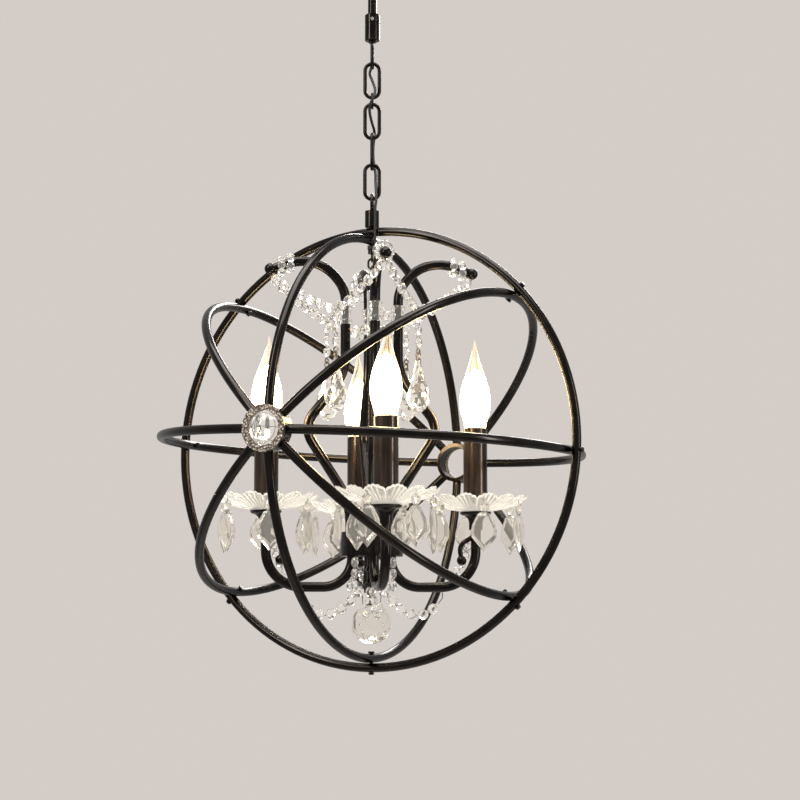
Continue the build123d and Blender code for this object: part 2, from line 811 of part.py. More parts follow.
def make_candles():
    """Sleeves, and lamp holders on the nipples that clamp each cup, bobeche and sleeve together."""
    sleeve_bottom = flange_top + bobeche_glass + 2 * fit
    with BuildPart() as sleeve:
        with BuildSketch(Plane(origin=(candle_radius, 0, orb_centre + sleeve_bottom), z_dir=up)):
            Circle(sleeve_diameter / 2)
            Circle(sleeve_diameter / 2 - sleeve_wall, mode=Mode.SUBTRACT)
        extrude(amount=sleeve_top - sleeve_bottom)
    finish_together(sleeve, "candle_sleeves", arm_angles)

    nipple_bottom = neck_bottom + nipple_diameter / 2 + fit
    holder_top = sleeve_top - sleeve_wall
    with BuildPart() as holder:
        add(upright_pin(candle_radius, nipple_bottom, holder_top - holder_height, nipple_diameter))
        add(upright_pin(candle_radius, holder_top - holder_height, holder_top, holder_diameter))
        add(upright_pin(candle_radius, sleeve_top - cap_length - fit, holder_top, cap_diameter + 2 * fit),
            mode=Mode.SUBTRACT)
    finish_together(holder, "lamp_holders", arm_angles)


def make_bulbs():
    """Candle bulbs: a threaded cap down in the holder, a swelling glass and a drawn-out tip."""
    seat = sleeve_top + fit
    cap = candle_radius + cap_diameter / 2
    collar = candle_radius + sleeve_diameter / 2 - sleeve_wall
    swell = bulb_diameter / 2
    with BuildPart() as bulb:
        with BuildSketch(turn_plane(0)):
            with BuildLine():
                Polyline(
                    (candle_radius, seat + bulb_height),
                    (candle_radius, seat - cap_length),
                    (cap, seat - cap_length),
                    (cap, seat),
                    (collar, seat + 2),
                )
                Spline(
                    (collar, seat + 2),
                    (candle_radius + swell, seat + bulb_height * 0.3),
                    (candle_radius + swell * 0.62, seat + bulb_height * 0.6),
                    (candle_radius + swell * 0.14, seat + bulb_height * 0.88),
                    (candle_radius, seat + bulb_height),
                )
            make_face()
        revolve(axis=candle_axis(candle_radius))
    finish_each(bulb, "bulb", arm_angles)


# ---------------------------------------------------------------- inner chandelier: crystals


def make_bobeches():
    """Shallow pressed-glass dishes with a scalloped rim, pierced for the nipple."""
    bottom = flange_top + fit
    rim = bobeche_diameter / 2
    with BuildPart() as bobeche:
        with BuildSketch(turn_plane(0)):
            with BuildLine():
                hole = candle_radius + nipple_diameter / 2 + fit
                floor = candle_radius + bobeche_floor / 2
                shoulder = candle_radius + bobeche_shoulder / 2
                Polyline(
                    (hole, bottom),
                    (floor, bottom),
                    (shoulder, bobeche_rim - bobeche_glass - shoulder_drop),
                    (candle_radius + rim, bobeche_rim - bobeche_glass),
                    (candle_radius + rim, bobeche_rim),
                    (shoulder, bobeche_rim - shoulder_drop),
                    (floor, bottom + bobeche_glass),
                    (hole, bottom + bobeche_glass),
                    close=True,
                )
            make_face()
        revolve(axis=candle_axis(candle_radius))
        with BuildSketch(Plane(origin=(candle_radius, 0, orb_centre + bottom), z_dir=up)):
            with PolarLocations(rim + scallop_radius * 0.6, petals):
                Circle(scallop_radius)
        extrude(amount=bobeche_rim - bottom, mode=Mode.SUBTRACT)
    finish_each(bobeche, "bobeche", arm_angles)


def bead(width, thickness):
    """Octagonal crystal bead with bevelled faces, its flat sides facing its own Z."""
    with BuildPart(mode=Mode.PRIVATE) as piece:
        with BuildSketch():
            RegularPolygon(width / 2, 8, major_radius=False, rotation=22.5)
        extrude(amount=thickness / 2, both=True)
        chamfer(piece.faces().filter_by(Axis.Z).edges(), length=thickness * 0.3)
    return piece.part


def make_bobeche_drops():
    """Shield-shaped drops round each bobeche, each under an octagonal bead on a pin at the rim."""
    half = drop_width / 2
    with BuildPart(mode=Mode.PRIVATE) as drop:
        with BuildSketch(Plane.YZ.offset(-drop_thickness / 2)):
            with BuildLine():
                Polyline(
                    (0, 0),
                    (half * 0.45, -drop_height * 0.05),
                    (half, -drop_height * 0.4),
                    (half * 0.8, -drop_height * 0.65),
                    (0, -drop_height),
                )
                mirror(about=Plane.YZ)
            make_face()
        extrude(amount=drop_thickness)
        chamfer(drop.faces().filter_by(Axis.X).edges(), length=drop_thickness * 0.3)

    rim = bobeche_diameter / 2
    share = (rim - drop_circle / 2) / (rim - bobeche_shoulder / 2)
    underside = bobeche_rim - bobeche_glass - shoulder_drop * share
    pin_length = bobeche_glass
    bead_centre = underside - fit - pin_length - bead_width / 2
    with BuildPart() as drops:
        for place in range(drops_per_bobeche):
            turn = 360 / drops_per_bobeche * (place + 0.5)
            outward = Vector(cos(radians(turn)), sin(radians(turn)), 0)
            spot = Vector(candle_radius, 0, orb_centre) + outward * drop_circle / 2
            with Locations(Plane(origin=spot + up * bead_centre, x_dir=up, z_dir=outward).location):
                add(bead(bead_width, bead_thickness))
            with BuildSketch(Plane(origin=spot + up * bead_centre, z_dir=up)):
                Circle(string_wire / 2)
            extrude(amount=bead_width / 2 + pin_length)
            with Locations(Location(spot + up * (bead_centre - bead_width / 2), (0, 0, turn))):
                add(drop.part)
    finish_together(drops, "bobeche_drops", arm_angles)


def polar(radius, angle, h):
    """Point at a radius, an angle from the first upright plane and a height from the orb's centre."""
    return Vector(radius * cos(radians(angle)), radius * sin(radians(angle)), orb_centre + h)


def string_curve(start, middle, end):
    """Points close together along a smooth curve from start to end, pulled towards middle."""
    samples = 120
    curve = []
    for step in range(samples + 1):
        t = step / samples
        curve.append(start * (1 - t) ** 2 + middle * (2 * t * (1 - t)) + end * t ** 2)
    return curve


def bead_string(start, middle, end, lead):
    """Beads evenly spaced on a wire that runs along a smooth curve, with a bare lead at each end."""
    curve = string_curve(start, middle, end)
    length = sum((there - here).length for here, there in zip(curve, curve[1:]))
    count = int((length - 2 * lead) / (bead_width + fit))
    pitch = (length - 2 * lead) / count
    travelled = 0
    target = lead + pitch / 2
    stops = [start]
    spots = []
    for here, there in zip(curve, curve[1:]):
        travelled += (there - here).length
        if travelled >= target and len(spots) < count:
            heading = (there - here).normalized()
            spots.append(Plane(origin=there, x_dir=heading, z_dir=heading.cross(up)).location)
            stops.append(there)
            target += pitch
    stops.append(end)
    with BuildPart(mode=Mode.PRIVATE) as string:
        with Locations(*spots):
            add(bead(bead_width, bead_thickness))
        for here, there in zip(stops, stops[1:]):
            with BuildSketch(Plane(origin=here, z_dir=there - here)):
                Circle(string_wire / 2)
            extrude(amount=(there - here).length)
    return string.part


def pendant_string(turn):
    """Beads one above the other down to a loop, on which a teardrop hangs."""
    loop_bottom_height = teardrop_eye_top - 2 * string_wire - fit
    bottom = loop_bottom_height + teardrop_eye - string_wire / 2
    count = int((string_joint - bottom) / (bead_width + fit))
    pitch = (string_joint - bottom) / count
    tangent = Vector(-sin(radians(turn)), cos(radians(turn)), 0)
    radial = tangent.cross(up)
    spots = []
    for place in range(count):
        centre = polar(teardrop_radius, turn, bottom + pitch * (place + 0.5))
        spots.append(Plane(origin=centre, x_dir=up, z_dir=tangent).location)
    loop_centre = polar(teardrop_radius, turn, loop_bottom_height + teardrop_eye / 2)
    with BuildPart(mode=Mode.PRIVATE) as string:
        with Locations(*spots):
            add(bead(bead_width, bead_thickness))
        with BuildSketch(Plane(origin=polar(teardrop_radius, turn, bottom), z_dir=up)):
            Circle(string_wire / 2)
        extrude(amount=string_joint - bottom)
        add(round_eye(Plane(origin=loop_centre, x_dir=tangent, z_dir=radial), teardrop_eye, string_wire))
    return string.part


def make_bead_strings():
    """Strings from each pair of scroll tips to a pendant string, a garland and a swag below."""
    step = 180 / arm_count
    joint = polar(teardrop_radius, step, string_joint)
    tip_underside = scroll_crown - scroll_tip_drop - tip_ball / 2
    garland_height = bobbin_top - bobbin_height - scroll_wire / 2
    tangent = Vector(-sin(radians(step)), cos(radians(step)), 0)
    low = candle_arm_low - candle_arm_wire / 2 - fit
    with BuildPart() as strings:
        for turn in (0, 2 * step):
            start = polar(scroll_tip + tip_ball / 4, turn, tip_underside - fit)
            add(bead_string(start, (start + joint) / 2 - up * string_sag, joint, string_lead))
        add(pendant_string(step))
        first = polar(scroll_waist, 0, garland_height) + tangent * (scroll_wire / 2 + fit)
        last = polar(scroll_waist, 2 * step, garland_height) - tangent * (scroll_wire / 2 + fit)
        add(bead_string(first, (first + last) / 2 - up * string_sag, last, string_lead))
        with BuildSketch(Plane(origin=polar(swag_radius, 0, low), z_dir=-up)):
            Circle(string_wire / 2)
        extrude(amount=bead_width / 2)
        add(bead_string(
            polar(swag_radius, 0, low - bead_width / 2),
            polar(swag_radius * 0.62, 0, low - swag_depth),
            polar(finial_diameter / 2 + fit, 0, finial_bottom + small_wire),
            bead_width * 0.75,
        ))
    finish_together(strings, "bead_strings", arm_angles)


def make_teardrops():
    """Large faceted teardrop pendants, one between each pair of scrolls, each with a wire eye."""
    widest = teardrop_diameter / 2
    with BuildPart() as teardrop:
        with BuildSketch(turn_plane(0)):
            with BuildLine():
                Polyline(
                    (teardrop_radius, teardrop_top),
                    (teardrop_radius + widest * 0.25, teardrop_top - string_wire / 2),
                    (teardrop_radius + widest * 0.45, teardrop_top - teardrop_height * 0.3),
                    (teardrop_radius + widest, teardrop_top - teardrop_height * 0.68),
                    (teardrop_radius + widest * 0.8, teardrop_top - teardrop_height * 0.88),
                    (teardrop_radius, teardrop_top - teardrop_height),
                    close=True,
                )
            make_face()
        revolve(axis=candle_axis(teardrop_radius))
        centre = (teardrop_radius, 0, orb_centre + teardrop_eye_top - teardrop_eye / 2)
        add(round_eye(Plane(origin=centre, x_dir=(1, 0, 0), z_dir=(0, 1, 0)), teardrop_eye, string_wire))
    finish_each(teardrop, "teardrop", between_angles)


def make_bottom_ball():
    """Faceted crystal ball under the drum, with a cap and a loop on its top."""
    loop_top_height = next_top(finial_eye_centre - small_eye / 2, small_wire, small_wire)
    radius = ball_diameter / 2
    facets = range(0, 181, 20)
    with BuildPart() as ball:
        with BuildSketch(Plane(origin=height(ball_centre), x_dir=(1, 0, 0), z_dir=(0, -1, 0))):
            with BuildLine():
                Polyline(*[(radius * sin(radians(a)), radius * cos(radians(a))) for a in facets], close=True)
            make_face()
        revolve(axis=Axis(height(ball_centre), up))
        add(round_eye(flat_plane(orb_centre + loop_top_height - small_eye / 2), small_eye, small_wire))
        with BuildSketch(Plane(origin=height(ball_centre + radius * 0.9), z_dir=up)):
            Circle(small_wire)
        extrude(amount=loop_top_height - small_eye + small_wire / 2 - ball_centre - radius * 0.9)
    finish(ball, "bottom_ball")


# ---------------------------------------------------------------- supply cord


def cord_route():
    """From the canopy down the rod, out behind the coupler, woven through the chain, into the stem."""

    def at(side, depth, z):
        return across * side + away * depth + up * z

    leave = cord_exit_inside()
    entry = height(cord_turn_height())
    corner = Vector(cord_pass_offset, -cord_pass_offset, 0)
    slant = cord_entry_direction()
    behind = link_width / 2 + cord_diameter / 2 + 2 * fit
    return [
        Vector(0, 0, cord_start),
        leave,
        leave + cord_exit_direction() * 16,
        at(0.3, behind + 0.9, loop_top - 12),
        at(-1.0, behind - 0.2, loop_bottom + 6),
        at(-3.6, 6.5, link_1_top - 12),
        at(0.2, 0.0, link_1_top - 22),
        at(4.2, -7.5, link_1_top - 35),
        at(1.5, -13.5, chain_ring_top - 8),
        at(-3.8, -8.5, link_2_top - 8),
        at(-1.0, -1.0, link_2_top - 22),
        at(3.4, 6.5, link_2_top - 33),
        at(0.9, behind + 0.9, link_3_top - 12),
        at(1.0, behind + 1.5, link_3_top - 28),
        at(4.2, 8.6, link_4_top - 10.5),
        at(3.8, 0.5, link_4_top - 21),
        at(4.6, -5.5, link_4_top - 33),
        at(4.9, -9.0, eye_top - 10),
        corner * 1.03 + up * (collar_top + 2),
        corner * 1.08 + up * (collar_bottom - 6),
        entry + slant * (corner.length / hypot(slant.X, slant.Y)),
        entry,
        height(drum_top - drum_wall * 5),
    ]


def cord_radii(points):
    """As large as the runs allow, but tight where the cord turns inside the coupler and the stem."""
    radii = []
    for before, here, after in zip(points, points[1:], points[2:]):
        half_turn = radians((here - before).get_angle(after - here)) / 2
        shorter = min((here - before).length, (after - here).length)
        radii.append(min(0.45 * shorter / tan(half_turn), 60 * cord_diameter))
    radii[0] = min(radii[0], 3.5 * cord_diameter)
    radii[-1] = min(radii[-1], 3.5 * cord_diameter)
    return radii


def make_cord():
    """Round cord made of straight runs joined by tangent arcs."""
    points = cord_route()
    radii = cord_radii(points)
    print("cord radii", [round(radius, 1) for radius in radii])
    print("cord runs", [round((b - a).length, 1) for a, b in zip(points, points[1:])])
    with BuildPart() as cord:
        with BuildLine() as path:
            FilletPolyline(*points, radius=radii)
        with BuildSketch(Plane(origin=path.line @ 0, z_dir=path.line % 0)):
            Circle(cord_diameter / 2)
        sweep()
    tube_volume = pi * cord_diameter ** 2 / 4 * path.wire().length
    print("cord length", round(path.wire().length, 1))
    print("cord volume over section times length", round(cord.part.volume / tube_volume, 4))
    finish(cord, "supply_cord")


make_ceiling_mount()
make_downrod()
make_chain()
make_rings()
make_ring_screws()
make_hubs()
make_hanging_point()
make_stem()
make_drum()
make_scroll_arms()
make_candle_arms()
make_candle_cups()
make_candles()
make_bulbs()
make_bobeches()
make_bobeche_drops()
make_bead_strings()
make_teardrops()
make_bottom_ball()
make_cord()
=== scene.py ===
import json
import math

import bmesh
import bpy
from mathutils import Matrix, Vector


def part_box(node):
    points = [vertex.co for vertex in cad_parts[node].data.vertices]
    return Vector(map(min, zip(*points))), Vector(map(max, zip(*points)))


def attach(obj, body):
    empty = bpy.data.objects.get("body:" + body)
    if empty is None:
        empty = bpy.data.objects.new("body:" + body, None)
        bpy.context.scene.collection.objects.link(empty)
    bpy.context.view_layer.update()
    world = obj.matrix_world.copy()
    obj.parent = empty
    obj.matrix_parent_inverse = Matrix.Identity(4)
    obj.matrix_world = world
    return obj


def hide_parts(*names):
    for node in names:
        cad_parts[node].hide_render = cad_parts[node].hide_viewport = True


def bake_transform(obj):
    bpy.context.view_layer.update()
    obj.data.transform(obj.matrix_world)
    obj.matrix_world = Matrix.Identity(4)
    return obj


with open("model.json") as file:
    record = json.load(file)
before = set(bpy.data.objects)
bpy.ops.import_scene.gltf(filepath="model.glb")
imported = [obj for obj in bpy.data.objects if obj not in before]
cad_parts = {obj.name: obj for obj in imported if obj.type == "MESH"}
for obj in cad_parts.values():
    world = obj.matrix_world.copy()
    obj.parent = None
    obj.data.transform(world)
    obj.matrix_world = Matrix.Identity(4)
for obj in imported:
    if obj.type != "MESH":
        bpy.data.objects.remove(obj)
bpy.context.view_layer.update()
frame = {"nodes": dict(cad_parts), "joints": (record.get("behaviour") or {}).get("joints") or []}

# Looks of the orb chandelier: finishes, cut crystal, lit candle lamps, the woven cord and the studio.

bpy.context.scene.view_settings.view_transform = "Standard"

# ---------------------------------------------------------------- sizes
# In metres, as in the part's source. Heights of the inner chandelier are measured from the orb's centre.

mm = 0.001
fit = 0.3 * mm
full_turn = 2 * math.pi
up = Vector((0, 0, 1))

# Chain and cage
link_width = 20.5 * mm
tube = 10.0 * mm
stud_length = 9.0 * mm
collar_height = 19.0 * mm
small_eye = 10.5 * mm
small_wire = 2.4 * mm
face_turn = math.radians(26.0)

# Inner chandelier
arm_angles = [math.radians(-56.0 + 90.0 * i) for i in range(4)]
between_angles = [angle + math.radians(45.0) for angle in arm_angles]
stem_head_height = 19.0 * mm
drum_bottom = -122.0 * mm
drum_wall = 1.6 * mm
scroll_wire = 11.0 * mm
scroll_waist = 30.0 * mm
scroll_tip = 112.0 * mm
scroll_tip_drop = 19.0 * mm
scroll_crown = 219.0 * mm
tip_ball = 13.0 * mm
bobbin_top = 161.0 * mm
bobbin_height = 22.0 * mm
candle_radius = 118.0 * mm
candle_arm_low = -156.0 * mm
candle_arm_wire = 11.0 * mm
sleeve_top = 22.0 * mm
bulb_height = 101.0 * mm

# Glass dishes
bobeche_radius = 58.0 * mm
bobeche_shoulder = 46.5 * mm
bobeche_floor = 18.0 * mm
bobeche_rim = -53.0 * mm
bobeche_floor_top = -68.3 * mm
bobeche_glass = 3.0 * mm
shoulder_drop = 4.8 * mm
dish_hole = 5.4 * mm
dish_thickness = 2.6 * mm
petals = 14

# Crystals
bead_width = 12.0 * mm
bead_thickness = 7.0 * mm
small_bead_width = 8.5 * mm
small_bead_thickness = 5.5 * mm
string_wire = 1.6 * mm
bead_link_radius = 1.6 * mm
bead_link_wire = 0.35 * mm
lead_wire = 0.45 * mm
hook_wire = 0.6 * mm
string_joint = 148.0 * mm
string_sag = 8.0 * mm
string_lead = 3.0 * mm
pendant_lead = 0.5 * mm
drum_string_lead = 0.8 * mm
small_string_lead = 1.0 * mm
swag_lead = bead_width * 0.75
swag_radius = 80.0 * mm
swag_depth = 52.0 * mm
swag_foot_radius = 5.3 * mm
swag_foot = -149.6 * mm
drum_string_radius = 30.0 * mm
drum_string_length = 39.2 * mm
drops_per_bobeche = 6
drop_circle = 51.0 * mm
drop_width = 29.0 * mm
drop_height = 44.0 * mm
drop_thickness = 6.4 * mm
drop_girdle = 1.6 * mm
drop_gap = 3.0 * mm
drop_pin_wire = 0.5 * mm
drop_pin_rise = 3.4 * mm
drop_ring_radius = 2.0 * mm
drop_ring_wire = 0.4 * mm
teardrop_radius = 65.0 * mm
teardrop_top = 96.0 * mm
teardrop_foot = 34.0 * mm
teardrop_cap = 94.0 * mm
teardrop_eye = 7.5 * mm
ball_radius = 22.5 * mm

# Supply cord
cord_diameter = 3.2 * mm
cord_hole = 5.0 * mm
cord_start = -3.0 * mm


def outward(turn):
    """Level direction at an angle about the vertical axis."""
    return Vector((math.cos(turn), math.sin(turn), 0))


def sideways(turn):
    """Level direction a quarter turn further."""
    return Vector((-math.sin(turn), math.cos(turn), 0))


def low_high(node):
    """Lowest and highest z of a CAD node."""
    low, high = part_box(node)
    return low.z, high.z


across = outward(face_turn)
away = sideways(face_turn)
ring_low, ring_high = low_high("outer_ring")
orb_z = (ring_low + ring_high) / 2
orb_centre = Vector((0, 0, orb_z))


def polar(radius, angle, height):
    """Point at a radius and an angle about the vertical axis, at a height from the orb's centre."""
    return Vector((radius * math.cos(angle), radius * math.sin(angle), orb_z + height))


# ---------------------------------------------------------------- camera, light and studio

camera_bearing = math.radians(25.81)
camera_pitch = math.radians(6.53)
camera_lens = 89.48
camera_sensor = 36.0
camera_clip_end = 50.0

# Right of, ahead of and above the orb's centre, as the camera looks
camera_offset = (0.0318, -2.2212, -0.2008)

# Name: offset like the camera's, width and height in metres, watts, colour
lights = {
    "key": ((-1.6, -1.5, 1.3), (0.35, 1.6), 26, (1.0, 0.97, 0.93)),
    "fill": ((1.9, -1.0, 0.3), (0.2, 1.6), 16, (1.0, 0.96, 0.92)),
    "edge": ((0.6, 1.9, 1.2), (1.4, 0.3), 16, (1.0, 0.98, 0.95)),
    "overhead": ((0.0, -0.3, 1.9), (1.8, 1.8), 55, (1.0, 0.98, 0.95)),
}

backdrop_colour = (0.655, 0.607, 0.573)
room_colour = (1.0, 0.965, 0.93)
room_strength = 0.32
floor_radius = 1.4
floor_height = -2.4


def beside_orb(offset):
    """Point right of, ahead of and above the orb's centre, as the camera looks."""
    right, ahead = outward(camera_bearing), sideways(camera_bearing)
    return orb_centre + right * offset[0] + ahead * offset[1] + up * offset[2]


def make_camera():
    """Camera in front of the orb and a little below its centre, looking slightly up."""
    look = sideways(camera_bearing) * math.cos(camera_pitch) + up * math.sin(camera_pitch)
    data = bpy.data.cameras.new("camera")
    data.sensor_width = camera_sensor
    data.lens = camera_lens
    data.clip_end = camera_clip_end
    camera = bpy.data.objects.new("camera", data)
    camera.rotation_euler = look.to_track_quat("-Z", "Y").to_euler()
    camera.location = beside_orb(camera_offset)
    bpy.context.scene.collection.objects.link(camera)
    bpy.context.scene.camera = camera


def area_light(name, offset, size, watts, colour):
    """Rectangular soft light aimed at the orb."""
    data = bpy.data.lights.new(name, "AREA")
    data.shape = "RECTANGLE"
    data.size, data.size_y = size
    data.energy = watts
    data.color = colour
    light = bpy.data.objects.new(name, data)
    light.visible_camera = False
    light.location = beside_orb(offset)
    aim = orb_centre - light.location
    light.rotation_euler = aim.to_track_quat("-Z", "Y").to_euler()
    bpy.context.scene.collection.objects.link(light)


def make_world():
    """Pale warm backdrop for the camera and through glass, and soft even light."""
    world = bpy.data.worlds.new("studio")
    world.use_nodes = True
    nodes, links = world.node_tree.nodes, world.node_tree.links
    nodes.clear()
    output = nodes.new("ShaderNodeOutputWorld")
    seen = nodes.new("ShaderNodeBackground")
    seen.inputs["Color"].default_value = (*backdrop_colour, 1)
    lit = nodes.new("ShaderNodeBackground")
    lit.inputs["Color"].default_value = (*room_colour, 1)
    lit.inputs["Strength"].default_value = room_strength
    rays = nodes.new("ShaderNodeLightPath")
    seen_or_through = nodes.new("ShaderNodeMath")
    seen_or_through.operation = "MAXIMUM"
    links.new(rays.outputs["Is Camera Ray"], seen_or_through.inputs[0])
    links.new(rays.outputs["Is Transmission Ray"], seen_or_through.inputs[1])
    mix = nodes.new("ShaderNodeMixShader")
    links.new(seen_or_through.outputs[0], mix.inputs["Fac"])
    links.new(lit.outputs[0], mix.inputs[1])
    links.new(seen.outputs[0], mix.inputs[2])
    links.new(mix.outputs[0], output.inputs["Surface"])
    bpy.context.scene.world = world


def make_floor():
    """Plain pale floor of the room, far below the object."""
    bm = bmesh.new()
    bmesh.ops.create_circle(bm, cap_ends=True, segments=64, radius=floor_radius)
    mesh = bpy.data.meshes.new("floor")
    bm.to_mesh(mesh)
    bm.free()
    floor = bpy.data.objects.new("floor", mesh)
    floor.location = (0, 0, floor_height)
    bpy.context.scene.collection.objects.link(floor)
    paint = Finish("floor_paint", roughness=0.8)
    paint.mottle(3.0, (0.74, 0.70, 0.66), (0.78, 0.74, 0.70))
    mesh.materials.append(paint.material)


# ---------------------------------------------------------------- materials

evenly = (1, 1, 1)


class Finish:
    """Material with one Principled shader, whose even values are set on its own sockets."""

    sockets = {
        "metallic": "Metallic", "roughness": "Roughness", "ior": "IOR", "transmission": "Transmission Weight",
        "coat": "Coat Weight", "coat_roughness": "Coat Roughness", "emission": "Emission Strength",
    }

    def __init__(self, name, **values):
        self.material = bpy.data.materials.new(name)
        self.material.use_nodes = True
        self.nodes, self.links = self.material.node_tree.nodes, self.material.node_tree.links
        self.shader = self.nodes["Principled BSDF"]
        for key, value in values.items():
            self.shader.inputs[self.sockets[key]].default_value = value

    def noise(self, scale, detail=4.0, stretch=evenly):
        """Noise over the piece's own coordinates."""
        place = self.nodes.new("ShaderNodeTexCoord")
        mapping = self.nodes.new("ShaderNodeMapping")
        mapping.inputs["Scale"].default_value = stretch
        texture = self.nodes.new("ShaderNodeTexNoise")
        texture.inputs["Scale"].default_value = scale
        texture.inputs["Detail"].default_value = detail
        self.links.new(place.outputs["Object"], mapping.inputs["Vector"])
        self.links.new(mapping.outputs["Vector"], texture.inputs["Vector"])
        return texture.outputs["Fac"]

    def ramp(self, source, low, high, socket, start=0.35, stop=0.65):
        """Two-colour ramp over a value, into a socket of the shader."""
        node = self.nodes.new("ShaderNodeValToRGB")
        node.color_ramp.elements[0].position = start
        node.color_ramp.elements[0].color = (*low, 1)
        node.color_ramp.elements[1].position = stop
        node.color_ramp.elements[1].color = (*high, 1)
        self.links.new(source, node.inputs["Fac"])
        self.links.new(node.outputs["Color"], self.shader.inputs[socket])

    def mottle(self, scale, low, high, stretch=evenly):
        """Base colour that drifts between two tones."""
        self.ramp(self.noise(scale, stretch=stretch), low, high, "Base Color")

    def uneven_roughness(self, scale, low, high, stretch=evenly):
        """Roughness that varies between two values."""
        spread = self.nodes.new("ShaderNodeMapRange")
        spread.inputs["To Min"].default_value = low
        spread.inputs["To Max"].default_value = high
        self.links.new(self.noise(scale, stretch=stretch), spread.inputs["Value"])
        self.links.new(spread.outputs["Result"], self.shader.inputs["Roughness"])

    def bump(self, source, distance, strength=1.0):
        """Fine relief from a value."""
        node = self.nodes.new("ShaderNodeBump")
        node.inputs["Distance"].default_value = distance
        node.inputs["Strength"].default_value = strength
        self.links.new(source, node.inputs["Height"])
        self.links.new(node.outputs["Normal"], self.shader.inputs["Normal"])


def make_bronze(name, low, high, roughness, coat):
    """Dark lacquered bronze: smooth clear coat over a slightly uneven dark metal."""
    finish = Finish(name, metallic=0.85, coat=coat, coat_roughness=0.12)
    finish.mottle(45.0, low, high)
    finish.uneven_roughness(90.0, *roughness)
    finish.bump(finish.noise(260.0, detail=2.0), distance=0.00003, strength=0.35)
    return finish.material


def make_pewter():
    """Hammered pewter with dark hollows."""
    finish = Finish("pewter", metallic=0.95)
    dents = finish.nodes.new("ShaderNodeTexVoronoi")
    dents.inputs["Scale"].default_value = 420.0
    place = finish.nodes.new("ShaderNodeTexCoord")
    finish.links.new(place.outputs["Object"], dents.inputs["Vector"])
    depth = dents.outputs["Distance"]
    finish.ramp(depth, (0.50, 0.45, 0.39), (0.13, 0.10, 0.08), "Base Color", start=0.15, stop=0.75)
    finish.uneven_roughness(200.0, 0.22, 0.42)
    finish.bump(depth, distance=0.0005, strength=0.8)
    return finish.material


def make_glass(name, tint, ior, roughness=0.0, waviness=0.00002, clearness=1.0, glow_from_lamps=0.0,
               glow_colour=(1.0, 0.94, 0.84)):
    """Clear glass whose surface is very slightly uneven, with a faint emission: on glass that is no lamp this
    is a painted glow standing in for the light of the lamps near it.
    """
    # Emission strength and colour: painted glow of lamp light on glass that is no lamp; on the lamp's own shell
    # it is the lit lamp's glow
    finish = Finish(name, transmission=clearness, ior=ior, roughness=roughness, emission=glow_from_lamps)
    finish.shader.inputs["Emission Color"].default_value = (*glow_colour, 1)
    finish.mottle(60.0, tint, tuple(min(1.0, value * 1.03) for value in tint))
    finish.bump(finish.noise(160.0, detail=2.0), distance=waviness)
    return finish.material


def make_glow(name, colour, strength):
    """Glowing frosted glass, a little uneven."""
    finish = Finish(name, roughness=0.5, emission=strength)
    finish.mottle(80.0, (0.95, 0.88, 0.72), (1.0, 0.95, 0.85))
    finish.ramp(finish.noise(70.0), colour, tuple(min(1.0, value * 1.1) for value in colour), "Emission Color")
    return finish.material


def make_sleeve_bronze():
    """Brown bronze of the candle sleeves, with faint upright streaks."""
    finish = Finish("candle_bronze", metallic=0.75, coat=0.5, coat_roughness=0.1)
    finish.mottle(260.0, (0.020, 0.013, 0.009), (0.090, 0.058, 0.038), stretch=(1, 1, 0.04))
    finish.uneven_roughness(220.0, 0.22, 0.38, stretch=(1, 1, 0.1))
    finish.bump(finish.noise(500.0), distance=0.00005, strength=0.5)
    return finish.material


def make_plain(name, low, high, roughness, metallic, grain):
    """Simple moulded or plated surface with a fine grain."""
    finish = Finish(name, metallic=metallic)
    finish.mottle(70.0, low, high)
    finish.uneven_roughness(140.0, roughness * 0.85, roughness * 1.15)
    finish.bump(finish.noise(grain), distance=0.00008, strength=0.6)
    return finish.material


bronze = make_bronze("dark_bronze", (0.006, 0.0042, 0.0032), (0.018, 0.012, 0.009),
                     roughness=(0.18, 0.30), coat=0.3)
chain_bronze = make_bronze("chain_bronze", (0.008, 0.006, 0.005), (0.020, 0.014, 0.011),
                           roughness=(0.24, 0.38), coat=0.25)
pewter = make_pewter()
# Crystal, pressed glass and drop glass glow faintly: painted light standing in for the lamps' light on them.
# The lamp shell's warm glow is the lit lamp's own.
crystal = make_glass("crystal", (0.985, 0.975, 0.955), ior=1.5, clearness=0.94, glow_from_lamps=0.05)
pressed_glass = make_glass("pressed_glass", (0.99, 0.965, 0.91), ior=1.45, roughness=0.04, waviness=0.00006,
                           clearness=0.86, glow_from_lamps=0.12)
drop_glass = make_glass("drop_glass", (0.91, 0.885, 0.83), ior=1.48, clearness=0.88, glow_from_lamps=0.04)
tube_glass = make_glass("tube_glass", (0.96, 0.96, 0.95), ior=1.45)
lamp_shell = make_glass("lamp_shell", (1.0, 0.97, 0.91), ior=1.3, roughness=0.03, glow_from_lamps=0.22,
                        glow_colour=(1.0, 0.62, 0.30))
lamp_glow = make_glow("lamp_glow", (1.0, 0.74, 0.40), strength=28.0)
sleeve_bronze = make_sleeve_bronze()
cap_metal = make_plain("cap_metal", (0.55, 0.50, 0.42), (0.68, 0.62, 0.52),
                       roughness=0.3, metallic=1.0, grain=600.0)
zinc = make_plain("zinc_steel", (0.50, 0.50, 0.48), (0.62, 0.62, 0.60),
                  roughness=0.4, metallic=1.0, grain=400.0)
phenolic = make_plain("socket_plastic", (0.05, 0.045, 0.04), (0.08, 0.07, 0.06),
                      roughness=0.5, metallic=0.0, grain=800.0)
jacket = make_plain("cord_jacket", (0.012, 0.011, 0.011), (0.024, 0.022, 0.021),
                    roughness=0.45, metallic=0.0, grain=1500.0)
wire_metal = make_plain("wire_metal", (0.20, 0.17, 0.14), (0.34, 0.30, 0.25),
                        roughness=0.3, metallic=1.0, grain=900.0)

